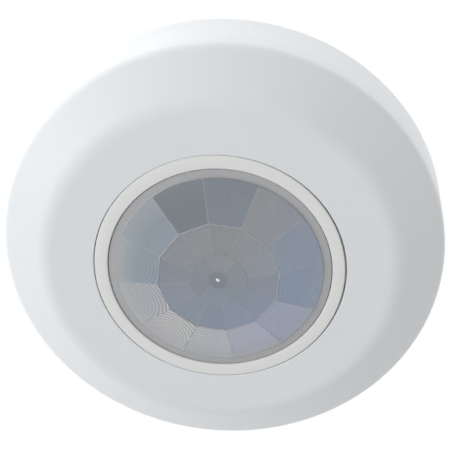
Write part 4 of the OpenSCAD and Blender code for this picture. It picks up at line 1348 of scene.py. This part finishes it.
build_capacitors(metal("capacitor_metal", (0.80, 0.80, 0.80), (0.66, 0.66, 0.66), (0.2, 0.34), 0.9),
                 plastic("sleeve_film", (0.018, 0.030, 0.085), (0.026, 0.042, 0.11), (0.16, 0.28), 0.2, 0.7),
                 plastic("stripe_ink", (0.52, 0.56, 0.66), (0.58, 0.62, 0.70), (0.2, 0.34), 0.2, 0.5))
build_chips(black_resin, tin, black_resin,
            plastic("ceramic", (0.42, 0.31, 0.19), (0.50, 0.38, 0.24), (0.35, 0.5), 0.9, 0.3))
build_heat_sensor(can_metal, window_filter(),
                  plastic("spacer_plastic", (0.72, 0.72, 0.68), (0.77, 0.77, 0.73)))
build_light(light_resin(), tin)
base_paint = plastic("base_plastic", (0.64, 0.65, 0.645), (0.69, 0.695, 0.69), (0.42, 0.58),
                     0.8, 0.5, 0.018)
brass = metal("contact_brass", (0.76, 0.60, 0.32), (0.62, 0.47, 0.24), (0.24, 0.44))
header_plastic = plastic("header_plastic", (0.022, 0.022, 0.024), (0.035, 0.035, 0.037), (0.38, 0.55))
blue_plastic = plastic("trimmer_plastic", (0.03, 0.12, 0.42), (0.045, 0.15, 0.48), (0.28, 0.42))
CARRIED_OVER = [
    ("base_plate", 0.25, base_paint),
    ("cable_grommet", 0.25, rubber("grommet_rubber", (0.035, 0.035, 0.036), (0.085, 0.085, 0.083))),
    ("circuit_board", 0.0,
     lacquered_laminate("board_laminate", (0.012, 0.125, 0.045), (0.022, 0.16, 0.06), 0.01)),
    ("board_screws", 0.12, screw_metal),
    ("terminal_block", 0.15,
     plastic("terminal_plastic", (0.04, 0.29, 0.12), (0.055, 0.34, 0.15), (0.34, 0.5))),
    ("terminal_clamps", 0.05, brass),
    ("terminal_screws", 0.08, screw_metal),
    ("jumper_header", 0.1, header_plastic),
    ("jumper_pins", 0.08, brass),
    ("jumper_cap_1", 0.14, plastic("jumper_plastic", (0.03, 0.09, 0.36), (0.045, 0.12, 0.42), (0.3, 0.46))),
    ("jumper_cap_2", 0.14, bpy.data.materials["jumper_plastic"]),
    ("trimmer_body", 0.18, blue_plastic),
    ("trimmer_rotor", 0.1, plastic("rotor_plastic", (0.76, 0.76, 0.72), (0.80, 0.80, 0.77))),
    ("tamper_housing", 0.15,
     plastic("switch_plastic", (0.035, 0.035, 0.038), (0.055, 0.055, 0.058), (0.35, 0.5))),
    ("tamper_spring", 0.0, metal("spring_wire", (0.68, 0.68, 0.68), (0.52, 0.52, 0.52))),
    ("tamper_plunger", 0.1, plastic("plunger_plastic", (0.70, 0.68, 0.60), (0.75, 0.73, 0.66))),
    ("lens_retainer", 0.15, base_paint),
    ("retainer_screws", 0.08, screw_metal),
    ("lens_seal", 0.1, rubber("seal_rubber", (0.030, 0.030, 0.031), (0.070, 0.070, 0.068))),
]
for node, width, paint in CARRIED_OVER:
    soften(node, width, paint)
